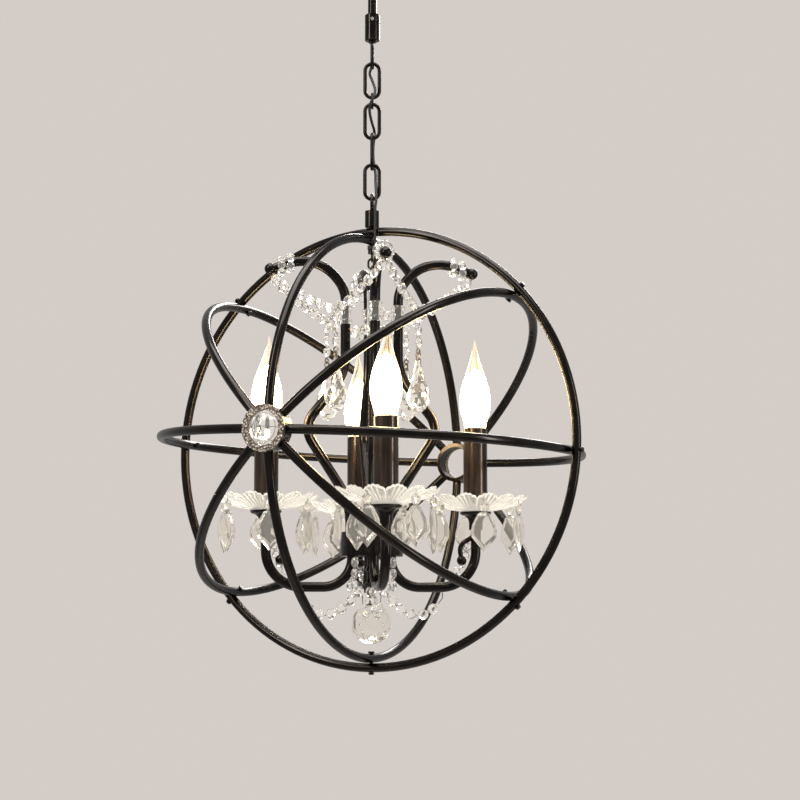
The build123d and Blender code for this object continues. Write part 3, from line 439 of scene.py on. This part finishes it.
# CAD nodes that are neither dark bronze nor a link of the chain
node_materials = {
    "front_bezel": pewter,
    "back_bezel": pewter,
    "front_crystal": crystal,
    "stem_glass": tube_glass,
    "candle_sleeves": sleeve_bronze,
    "lamp_holders": phenolic,
    "ceiling_bracket": zinc,
    "ground_screw": zinc,
    "coupler_set_screw": zinc,
    "top_nut": chain_bronze,
    "rod_loop": chain_bronze,
    "inner_loop": chain_bronze,
    "inner_link": chain_bronze,
}
cad_sharp_angle = math.radians(44)


def dress_cad_nodes():
    """Give every CAD node its finish, and smooth its round faces."""
    for name, node in frame["nodes"].items():
        material = node_materials.get(name, chain_bronze if name.startswith("chain") else bronze)
        node.data.materials.clear()
        node.data.materials.append(material)
        node.data.shade_smooth()
        node.data.set_sharp_from_angle(angle=cad_sharp_angle)


# ---------------------------------------------------------------- mesh tools


class Shape:
    """Vertices and faces gathered from several forms."""

    def __init__(self):
        self.verts = []
        self.faces = []

    def add(self, form, matrix=None):
        """Take in a form, which is a pair of vertices and faces, moved by a matrix."""
        verts, faces = form
        start = len(self.verts)
        self.verts += [matrix @ v if matrix else v for v in verts]
        self.faces += [tuple(i + start for i in face) for face in faces]
        return self


def add_piece(name, shape, material, body, replaced=(), smooth=None):
    """One mesh piece in the CAD's frame that rides on a body.

    Where smooth is given, faces are smoothed over edges of fewer degrees than that.
    """
    mesh = bpy.data.meshes.new(name)
    mesh.from_pydata([tuple(v) for v in shape.verts], [], shape.faces)
    mesh.validate()
    mesh.materials.append(material)
    bm = bmesh.new()
    bm.from_mesh(mesh)
    bmesh.ops.recalc_face_normals(bm, faces=bm.faces)
    bm.to_mesh(mesh)
    bm.free()
    if smooth:
        mesh.shade_smooth()
        mesh.set_sharp_from_angle(angle=math.radians(smooth))
    piece = bpy.data.objects.new(name, mesh)
    bpy.context.scene.collection.objects.link(piece)
    if replaced:
        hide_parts(*replaced)
    if body:
        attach(piece, body)
    return piece


def in_metres(profile):
    """Profile given in millimetres, in metres."""
    return [(radius * mm, height * mm) for radius, height in profile]


def stacked_rings(rings, closed=True):
    """Faces that join rings of equally many points, with a cap at each end."""
    count = len(rings[0])
    verts = [v for ring in rings for v in ring]
    faces = []
    for row in range(len(rings) - 1):
        for i in range(count):
            j = (i + 1) % count
            faces.append((row * count + i, row * count + j, (row + 1) * count + j, (row + 1) * count + i))
    if closed:
        faces.append(tuple(range(count)))
        faces.append(tuple(range((len(rings) - 1) * count, len(rings) * count)))
    return verts, faces


def looped_rings(rings):
    """Faces that join rings of equally many points, and the last ring to the first."""
    verts, faces = stacked_rings(rings + [rings[0]], closed=False)
    count = len(rings) * len(rings[0])
    return verts[:count], [tuple(i % count for i in face) for face in faces]


def level_ring(radius, height, sides, offset=0.0):
    """Points round a level circle about the local Z axis."""
    angles = [full_turn * i / sides + offset for i in range(sides)]
    return [Vector((radius * math.cos(angle), radius * math.sin(angle), height)) for angle in angles]


def lathe(profile, sides):
    """Form turned about the local Z axis from (radius, height) points."""
    return stacked_rings([level_ring(radius, height, sides) for radius, height in profile])


def cut_lathe(profile, sides):
    """Turned form with staggered rows of triangular facets, as cut crystal has."""
    half_facet = math.pi / sides
    verts = []
    for row, (radius, height) in enumerate(profile):
        verts += level_ring(radius, height, sides, half_facet * (row % 2))
    faces = []
    for row in range(len(profile) - 1):
        low, high = row * sides, (row + 1) * sides
        for i in range(sides):
            j = (i + 1) % sides
            if row % 2 == 0:
                faces += [(low + i, low + j, high + i), (low + j, high + j, high + i)]
            else:
                faces += [(low + i, low + j, high + j), (low + i, high + j, high + i)]
    faces.append(tuple(range(sides)))
    faces.append(tuple(range((len(profile) - 1) * sides, len(profile) * sides)))
    return verts, faces


def tube_along(points, radius, sides=12):
    """Round tube along close points, without twist, with flat ends."""
    heading = (points[1] - points[0]).normalized()
    side = heading.orthogonal().normalized()
    rings = []
    for k, point in enumerate(points):
        ahead_point = points[min(k + 1, len(points) - 1)]
        behind_point = points[max(k - 1, 0)]
        heading = (ahead_point - behind_point).normalized()
        side = (side - heading * side.dot(heading)).normalized()
        other = heading.cross(side)
        rings.append([point + (side * math.cos(full_turn * i / sides)
                               + other * math.sin(full_turn * i / sides)) * radius for i in range(sides)])
    return stacked_rings(rings)


def thin_wire(points, radius):
    """Thin wire along close points."""
    return tube_along(points, radius, sides=8)


def loop_points(centre, first, second, radius, steps):
    """Points round a circle, with the first one repeated at the end."""
    return [centre + (first * math.cos(full_turn * i / steps)
                      + second * math.sin(full_turn * i / steps)) * radius for i in range(steps + 1)]


def wire_eye(centre, side, diameter, wire):
    """Upright round eye of wire, where diameter is the outside."""
    return tube_along(loop_points(centre, side, up, (diameter - wire) / 2, steps=20), wire / 2)


def wire_ring(centre, first, second, radius, wire_radius):
    """Small ring of thin wire."""
    return thin_wire(loop_points(centre, first, second, radius, steps=14), wire_radius)


def frame_matrix(origin, x_axis, z_axis):
    """Matrix that carries local X and Z to the given directions."""
    z_axis = z_axis.normalized()
    x_axis = (x_axis - z_axis * x_axis.dot(z_axis)).normalized()
    y_axis = z_axis.cross(x_axis)
    matrix = Matrix((x_axis, y_axis, z_axis)).transposed().to_4x4()
    matrix.translation = origin
    return matrix


# ---------------------------------------------------------------- crystals


def outline_gem(outline, thickness, girdle, steps):
    """Flat cut stone: an outline that steps in to a smaller table on both faces.

    Each step gives the outline's scale and its share of half the thickness.
    """
    centre = sum((Vector((x, y, 0)) for x, y in outline), Vector()) / len(outline)

    def ring(scale, z):
        return [Vector((centre.x + (x - centre.x) * scale, centre.y + (y - centre.y) * scale, z))
                for x, y in outline]

    levels = [(1.0, girdle / 2)] + [(scale, thickness / 2 * share) for scale, share in steps]
    rings = [ring(scale, -z) for scale, z in reversed(levels)] + [ring(scale, z) for scale, z in levels]
    return stacked_rings(rings)


def octagon_bead(width, thickness):
    """Octagonal bead with bevelled shoulders and a small table."""
    half_side = math.pi / 8
    corner = width / 2 / math.cos(half_side)
    angles = [half_side + math.pi / 4 * i for i in range(8)]
    outline = [(corner * math.cos(angle), corner * math.sin(angle)) for angle in angles]
    girdle = thickness * 0.16
    return outline_gem(outline, thickness, girdle, steps=[(0.82, 0.62), (0.48, 1.0)])


bead_form = octagon_bead(bead_width * 0.97, bead_thickness)
small_bead_form = octagon_bead(small_bead_width, small_bead_thickness)

# Alternate beads of a string hang turned by these angles
bead_tilts = (math.radians(-16), math.radians(20))

# Sine of the angle to the vertical, under which a string counts as upright
nearly_upright = 0.05


def curve_between(start, middle, end, samples=120):
    """Points close together along the smooth curve of a string."""
    points = []
    for step in range(samples + 1):
        t = step / samples
        points.append(start * (1 - t) ** 2 + middle * (2 * t * (1 - t)) + end * t ** 2)
    return points


def straight_between(start, end):
    """Points close together along a straight string."""
    return curve_between(start, (start + end) / 2, end)


def string_on_curve(beads, wires, curve, lead, form=bead_form, width=bead_width):
    """Beads evenly spaced along a curve, joined by small wire rings, with bare wire at both ends."""
    length = sum((b - a).length for a, b in zip(curve, curve[1:]))
    count = max(1, int((length - 2 * lead) / (width + fit)))
    pitch = (length - 2 * lead) / count
    travelled, target, placed = 0.0, lead + pitch / 2, 0
    for a, b in zip(curve, curve[1:]):
        travelled += (b - a).length
        if travelled >= target and placed < count:
            heading = (b - a).normalized()
            side = heading.cross(up)
            side = side.normalized() if side.length > nearly_upright else across
            tilt = Matrix.Rotation(bead_tilts[placed % 2], 4, "X")
            beads.add(form, frame_matrix(b, heading, side) @ tilt)
            if placed:
                spot = b - heading * pitch / 2
                wires.add(wire_ring(spot, heading, side, bead_link_radius, bead_link_wire))
            placed += 1
            target += pitch
    end_count = max(2, len(curve) // 12)
    for end_points in (curve[:end_count], curve[-end_count:]):
        wires.add(thin_wire(end_points, lead_wire))


def strings_from_tips(beads, wires, turn, between):
    """Two strings from neighbouring scroll tips, and the pendant string that they carry, with its loop."""
    joint = polar(teardrop_radius, between, string_joint)
    tip_underside = scroll_crown - scroll_tip_drop - tip_ball / 2
    for tip_turn in (turn, turn + math.pi / 2):
        start = polar(scroll_tip + tip_ball / 4, tip_turn, tip_underside - fit)
        curve = curve_between(start, (start + joint) / 2 - up * string_sag, joint)
        string_on_curve(beads, wires, curve, string_lead)
    eye_top = teardrop_top - string_wire / 2 + teardrop_eye
    loop_bottom = eye_top - 2 * string_wire - fit
    foot = polar(teardrop_radius, between, loop_bottom + teardrop_eye - string_wire / 2)
    string_on_curve(beads, wires, straight_between(joint, foot), pendant_lead)
    loop_centre = polar(teardrop_radius, between, loop_bottom + teardrop_eye / 2)
    wires.add(wire_eye(loop_centre, sideways(between), teardrop_eye, string_wire))


def garland(beads, wires, turn, between):
    """String between two scrolls, just under the bobbins."""
    height = bobbin_top - bobbin_height - scroll_wire / 2
    beside_scroll = sideways(between) * (scroll_wire / 2 + fit)
    first = polar(scroll_waist, turn, height) + beside_scroll
    last = polar(scroll_waist, turn + math.pi / 2, height) - beside_scroll
    string_on_curve(beads, wires, curve_between(first, (first + last) / 2 - up * string_sag, last), string_lead)


def swag(beads, wires, turn):
    """String from a hook under a candle arm down to the finial."""
    low = candle_arm_low - candle_arm_wire / 2 - fit
    hook = polar(swag_radius, turn, low)
    start = hook - up * bead_width / 2
    wires.add(thin_wire([hook, hook - up * bead_width / 4, start], hook_wire))
    middle = polar(swag_radius * 0.62, turn, low - swag_depth)
    end = polar(swag_foot_radius, turn, swag_foot)
    string_on_curve(beads, wires, curve_between(start, middle, end), swag_lead)


def string_under_drum(beads, wires, between):
    """Short upright string under the wiring drum."""
    top = polar(drum_string_radius, between, drum_bottom - fit)
    string_on_curve(beads, wires, straight_between(top, top - up * drum_string_length), drum_string_lead)


def beads_round_tip(small_beads, turn):
    """Two rings of small beads wrapped round the end of a scroll."""
    centres = ((93.0 * mm, 207.0 * mm), (103.0 * mm, 203.2 * mm))
    beads_per_ring = 7
    wrap_radius = 8.6 * mm
    along = outward(turn)
    side = along.cross(up)
    for ring, (radius, height) in enumerate(centres):
        centre = polar(radius, turn, height)
        for i in range(beads_per_ring):
            angle = full_turn * (i + ring / 2) / beads_per_ring
            facing = side * math.cos(angle) + up * math.sin(angle)
            small_beads.add(small_bead_form, frame_matrix(centre + facing * wrap_radius, along, facing))


def beads_down_arm(small_beads, wires, turn):
    """Short string of small beads that follows the inside of a candle arm."""
    start = polar(candle_radius - 8.6 * mm, turn, -104.0 * mm)
    middle = polar(candle_radius - 12.0 * mm, turn, -141.0 * mm)
    end = polar(82.0 * mm, turn, candle_arm_low + 10.5 * mm)
    curve = curve_between(start, middle, end)
    string_on_curve(small_beads, wires, curve, small_string_lead, small_bead_form, small_bead_width)


def make_bead_strings():
    """All strings of beads, in three pieces: the beads, the small beads and the wires."""
    beads, small_beads, wires = Shape(), Shape(), Shape()
    for turn, between in zip(arm_angles, between_angles):
        strings_from_tips(beads, wires, turn, between)
        garland(beads, wires, turn, between)
        swag(beads, wires, turn)
        string_under_drum(beads, wires, between)
        beads_round_tip(small_beads, turn)
        beads_down_arm(small_beads, wires, turn)
    add_piece("bead_string_crystals", beads, crystal, "chandelier", ("bead_strings",))
    add_piece("small_crystals", small_beads, crystal, "chandelier")
    add_piece("bead_string_wires", wires, wire_metal, "chandelier", smooth=40)


def shield_outline():
    """Outline of a drop: shoulders near the top, widest above the middle, pointed below."""
    half = drop_width / 2
    shares = [(0.2, 0.01), (0.48, 0.05), (0.9, 0.32), (1.0, 0.48), (0.94, 0.64)]
    right = [(x * half, -y * drop_height) for x, y in shares]
    return right + [(0, -drop_height)] + [(-x, y) for x, y in reversed(right)]


def make_drops():
    """Shield drops and the octagons above them, round each dish."""
    drop_form = outline_gem(shield_outline(), drop_thickness, drop_girdle, steps=[(0.84, 0.75), (0.74, 1.0)])
    share = (bobeche_radius - drop_circle) / (bobeche_radius - bobeche_shoulder)
    underside = bobeche_rim - bobeche_glass - shoulder_drop * share
    bead_centre = underside - fit - drop_gap - bead_width / 2
    for number, turn in enumerate(arm_angles, start=1):
        glass, pins = Shape(), Shape()
        candle = polar(candle_radius, turn, 0)
        for place in range(drops_per_bobeche):
            facing = outward(turn + full_turn / drops_per_bobeche * (place + 0.5))
            spot = candle + facing * drop_circle
            bead_spot = spot + up * bead_centre
            drop_spot = spot + up * (bead_centre - bead_width / 2)
            glass.add(bead_form, frame_matrix(bead_spot, up, facing))
            glass.add(drop_form, frame_matrix(drop_spot, facing.cross(-up), facing))
            pin = [bead_spot + up * bead_width * 0.42, bead_spot + up * (bead_width / 2 + drop_pin_rise)]
            pins.add(thin_wire(pin, drop_pin_wire))
            pins.add(wire_ring(drop_spot, up, facing, drop_ring_radius, drop_ring_wire))
        replaced = ("bobeche_drops",) if number == 1 else ()
        add_piece(f"drop_crystals_{number}", glass, drop_glass, "chandelier", replaced)
        add_piece(f"drop_pins_{number}", pins, wire_metal, "chandelier", smooth=40)


def petal_valley(angle):
    """0 on the middle line of a petal, 1 in the valley between two petals."""
    return 1 - abs(math.cos(petals * angle / 2))


def dish_height(radius, angle):
    """Height of a dish's upper face: a flat floor, rising petals with fan ribs, and a curled rim."""
    valley_depth = 4.6 * mm
    rib_depth = 0.9 * mm
    ribs_per_petal = 5
    rise = max(0.0, (radius - bobeche_floor) / (bobeche_radius - bobeche_floor))
    base = bobeche_floor_top + (bobeche_rim - bobeche_floor_top) * rise ** 1.25
    rib = (1 - math.cos(petals * ribs_per_petal * angle)) / 2
    return base - valley_depth * petal_valley(angle) * rise ** 1.5 - rib_depth * rib * min(1.0, rise * 2)


def dish_ring(centre, radius, lower):
    """Points round a dish at a radius, on its upper or lower face."""
    points_per_petal = 40
    scallop_depth = 0.09
    around = petals * points_per_petal
    ring = []
    for i in range(around):
        angle = full_turn * i / around
        reach = radius * (1 - scallop_depth * petal_valley(angle) * (radius / bobeche_radius) ** 3)
        z = dish_height(radius, angle) - (dish_thickness if lower else 0.0)
        ring.append(centre + Vector((reach * math.cos(angle), reach * math.sin(angle), z)))
    return ring


def make_bobeches():
    """Pressed glass dishes with a scalloped rim and a fan in every petal."""
    steps = 22
    radii = [dish_hole + (bobeche_radius - dish_hole) * i / steps for i in range(steps + 1)]
    for number, turn in enumerate(arm_angles, start=1):
        centre = polar(candle_radius, turn, 0)
        rings = [dish_ring(centre, radius, lower=False) for radius in reversed(radii)]
        rings += [dish_ring(centre, radius, lower=True) for radius in radii]
        dish = Shape().add(looped_rings(rings))
        add_piece(f"glass_dish_{number}", dish, pressed_glass, "chandelier", (f"bobeche_{number}",),
                  smooth=50)


def make_bobbins():
    """Cut glass spools between the two halves of every scroll."""
    profile = in_metres([(3.0, 0.0), (7.4, 0.2), (8.0, 2.6), (6.6, 6.0), (5.6, 11.0), (6.6, 16.0),
                         (8.0, 19.4), (7.4, 21.8), (3.0, 22.0)])
    glass = Shape()
    for turn in arm_angles:
        place = Matrix.Translation(polar(scroll_waist, turn, bobbin_top - bobbin_height))
        glass.add(cut_lathe(profile, sides=10), place)
    add_piece("bobbin_crystals", glass, crystal, "chandelier", ("crystal_bobbins",))


def make_teardrops():
    """Large cut pendants with a wire eye."""
    profile = in_metres([(0.6, 0.0), (4.6, 2.0), (9.0, 6.2), (12.2, 12.5), (13.0, 19.8), (11.0, 27.5),
                         (7.8, 36.0), (5.4, 45.0), (3.9, 54.0), (2.6, 61.0), (0.6, 62.0)])
    cap_profile = in_metres([(0.6, 3.2), (2.2, 2.2), (3.1, -1.2), (2.4, -1.4)])
    for number, turn in enumerate(between_angles, start=1):
        foot = polar(teardrop_radius, turn, teardrop_foot)
        glass = Shape().add(cut_lathe(profile, sides=10), Matrix.Translation(foot))
        add_piece(f"teardrop_crystal_{number}", glass, crystal, f"pendant_{number}",
                  (f"teardrop_{number}",))
        eye_centre = polar(teardrop_radius, turn, teardrop_top - string_wire / 2 + teardrop_eye / 2)
        eye = Shape().add(wire_eye(eye_centre, outward(turn), teardrop_eye, string_wire))
        cap_place = polar(teardrop_radius, turn, teardrop_cap)
        eye.add(lathe(cap_profile, sides=20), Matrix.Translation(cap_place))
        add_piece(f"teardrop_eye_{number}", eye, wire_metal, f"pendant_{number}", smooth=40)


def make_ball():
    """Many-sided cut ball with a metal cap and a loop."""
    ball_low, ball_high = low_high("bottom_ball")
    centre = Vector((0, 0, ball_low + ball_radius))
    half = [(13.6, 17.6), (18.6, 11.6), (21.4, 5.6), (22.3, 1.2)]
    profile = in_metres(half + [(radius, -height) for radius, height in reversed(half)])
    eighth = Matrix.Rotation(math.pi / 8, 4, "Z")
    glass = Shape().add(cut_lathe(profile, sides=8), frame_matrix(centre, up, away) @ eighth)
    add_piece("ball_crystal", glass, drop_glass, "ball", ("bottom_ball",))
    cap_profile = in_metres([(0.9, 5.4), (2.4, 4.6), (2.6, 1.2), (5.6, -0.2), (6.4, -1.6), (1.0, -1.8)])
    cap_place = centre + up * (ball_radius - 0.6 * mm)
    cap = Shape().add(lathe(cap_profile, sides=28), Matrix.Translation(cap_place))
    eye_centre = Vector((0, 0, ball_high - small_eye / 2))
    cap.add(wire_eye(eye_centre, across, small_eye, small_wire))
    post_top = eye_centre - up * 4.1 * mm
    post_radius = 1.6 * mm
    cap.add(tube_along([centre + up * ball_radius, post_top], post_radius))
    add_piece("ball_cap", cap, wire_metal, "ball", smooth=40)


# ---------------------------------------------------------------- lamps

# Turn of the drawn tip from one lamp to the next, in radians
lean_step = 2.2

# Radii and heights in millimetres, from the foot of the bulb
shell_profile = in_metres([
    (11.9, 0.6), (12.1, 4.0), (13.6, 10.0), (16.2, 19.0), (17.4, 28.0), (17.1, 37.0), (15.4, 47.0),
    (12.4, 57.0), (8.9, 67.0), (5.7, 77.0), (3.3, 86.0), (1.9, 93.0), (1.1, 98.0), (0.5, 100.8),
])
core_profile = in_metres([
    (2.0, 3.0), (9.8, 3.4), (12.2, 10.0), (14.6, 19.0), (15.8, 28.0), (15.4, 37.0), (13.4, 46.0),
    (9.8, 54.5), (5.8, 61.0), (2.4, 66.0), (0.6, 68.5),
])
crest_radius, thread_depth, half_pitch = 6.85, 0.35, 0.75
thread_rows = [(crest_radius - thread_depth * (i % 2), -0.8 - i * half_pitch) for i in range(28)]
screw_cap_profile = in_metres([(12.0, 0.5), (11.6, -0.2), (6.9, -0.3)] + thread_rows
                              + [(5.0, -22.4), (2.6, -23.4), (0.6, -23.8)])


def drawn_flame(profile, lean, sides):
    """Turned form with its tip drawn a little to one side."""
    tip_start = 0.6 * bulb_height
    tip_lean = 3.2 * mm
    verts, faces = lathe(profile, sides)
    drawn = []
    for v in verts:
        share = max(0.0, (v.z - tip_start) / (bulb_height - tip_start))
        drawn.append(v + lean * tip_lean * math.sin(share * math.pi * 0.75) * share)
    return drawn, faces


def make_lamps():
    """Candle lamps: a clear drawn-out flame of glass, a glowing body inside it and a screw cap."""
    for number, turn in enumerate(arm_angles, start=1):
        place = Matrix.Translation(polar(candle_radius, turn, sleeve_top + fit))
        lean = outward(turn + lean_step * number)
        body = f"lamp_{number}"
        shell = Shape().add(drawn_flame(shell_profile, lean, sides=40), place)
        add_piece(f"bulb_glass_{number}", shell, lamp_shell, body, (f"bulb_{number}",), smooth=60)
        core = Shape().add(drawn_flame(core_profile, lean, sides=32), place)
        add_piece(f"bulb_glow_{number}", core, lamp_glow, body, smooth=60)
        cap = Shape().add(lathe(screw_cap_profile, sides=32), place)
        add_piece(f"bulb_cap_{number}", cap, cap_metal, body, smooth=40)


# ---------------------------------------------------------------- supply cord


def cord_route():
    """The route's own points, as in the part's source."""

    def at(side, depth, height, rise):
        """Point beside and behind the axis, and above a height. All but the height are in millimetres."""
        return across * side * mm + away * depth * mm + up * (height + rise * mm)

    coupler_bottom = low_high("rod_coupler")[0]
    loop_top = coupler_bottom - fit
    loop_bottom = low_high("rod_loop")[0]
    link_1, ring, link_2, link_3, link_4, eye = (low_high(name)[1] for name in (
        "chain_link_1", "chain_ring", "chain_link_2", "chain_link_3", "chain_link_4", "top_eye_bolt"))
    collar_bottom = ring_high + fit
    drum_top = low_high("wiring_drum")[1]
    stem_head_bottom = low_high("stem_glass")[1] + fit

    leave = up * (coupler_bottom + stud_length + cord_hole * 1.4)
    exit_slope, entry_slope = 0.9, 1.5
    exit_direction = (away - up * exit_slope).normalized()
    behind = (link_width / 2 + cord_diameter / 2 + 2 * fit) / mm
    pass_offset = tube / 2 + cord_diameter / 2 + 2 * fit
    corner = Vector((pass_offset, -pass_offset, 0))
    slant = (corner.normalized() + up * entry_slope).normalized()
    entry = up * (stem_head_bottom + stem_head_height * 0.3)
    return [
        up * cord_start,
        leave,
        leave + exit_direction * 16.0 * mm,
        at(0.3, behind + 0.9, loop_top, -12),
        at(-1.0, behind - 0.2, loop_bottom, 6),
        at(-3.6, 6.5, link_1, -12),
        at(0.2, 0.0, link_1, -22),
        at(4.2, -7.5, link_1, -35),
        at(1.5, -13.5, ring, -8),
        at(-3.8, -8.5, link_2, -8),
        at(-1.0, -1.0, link_2, -22),
        at(3.4, 6.5, link_2, -33),
        at(0.9, behind + 0.9, link_3, -12),
        at(1.0, behind + 1.5, link_3, -28),
        at(4.2, 8.6, link_4, -10.5),
        at(3.8, 0.5, link_4, -21),
        at(4.6, -5.5, link_4, -33),
        at(4.9, -9.0, eye, -10),
        corner * 1.03 + up * (collar_bottom + collar_height + 2 * mm),
        corner * 1.08 + up * (collar_bottom - 6 * mm),
        entry + slant * (corner.length / math.hypot(slant.x, slant.y)),
        entry,
        up * (drum_top - drum_wall * 5),
    ]


def cord_line():
    """Close points along the cord's smooth line, whose control points are the route's."""
    route = cord_route()
    data = bpy.data.curves.new("cord_line", "CURVE")
    data.dimensions = "3D"
    data.resolution_u = 16
    spline = data.splines.new("NURBS")
    spline.points.add(len(route) - 1)
    for control, point in zip(spline.points, route):
        control.co = (*point, 1)
    spline.order_u = 3
    spline.use_endpoint_u = True
    holder = bpy.data.objects.new("cord_line", data)
    bpy.context.scene.collection.objects.link(holder)
    bpy.context.view_layer.update()
    mesh = bpy.data.meshes.new_from_object(holder)
    line = [v.co.copy() for v in mesh.vertices]
    bpy.data.objects.remove(holder)
    bpy.data.meshes.remove(mesh)
    return line


def make_cord():
    """The cord in stretches, each of which spans the height of one joint of the chain."""
    last_cut = 0.55
    above_all, below_all = 1.0, -9.0
    line = cord_line()
    joints = {joint["child"]: joint for joint in frame["joints"]}
    chain = ["link_1", "small_ring", "link_2", "link_3", "link_4", "cage", "hook_link", "chandelier"]
    heights = [joints[body]["pos_m"][2] for body in chain]
    cuts = [(a + b) / 2 for a, b in zip(heights, heights[1:])]
    cuts[-1] = heights[-2] * last_cut + heights[-1] * (1 - last_cut)
    limits = [above_all] + cuts + [below_all]
    stretches = [[] for _ in chain]
    for a, b in zip(line, line[1:]):
        for k in range(len(chain)):
            if b.z <= limits[k] and a.z >= limits[k + 1]:
                if not stretches[k]:
                    stretches[k].append(a)
                stretches[k].append(b)
    for k, (body, points) in enumerate(zip(chain, stretches), start=1):
        shape = Shape().add(tube_along(points, cord_diameter / 2, sides=14))
        replaced = ("supply_cord",) if k == 1 else ()
        piece = add_piece(f"cord_{k}", shape, jacket, None, replaced, smooth=60)
        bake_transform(piece)


make_camera()
for light_name, light_values in lights.items():
    area_light(light_name, *light_values)
make_world()
make_floor()
dress_cad_nodes()
make_bead_strings()
make_drops()
make_bobeches()
make_bobbins()
make_teardrops()
make_ball()
make_lamps()
make_cord()
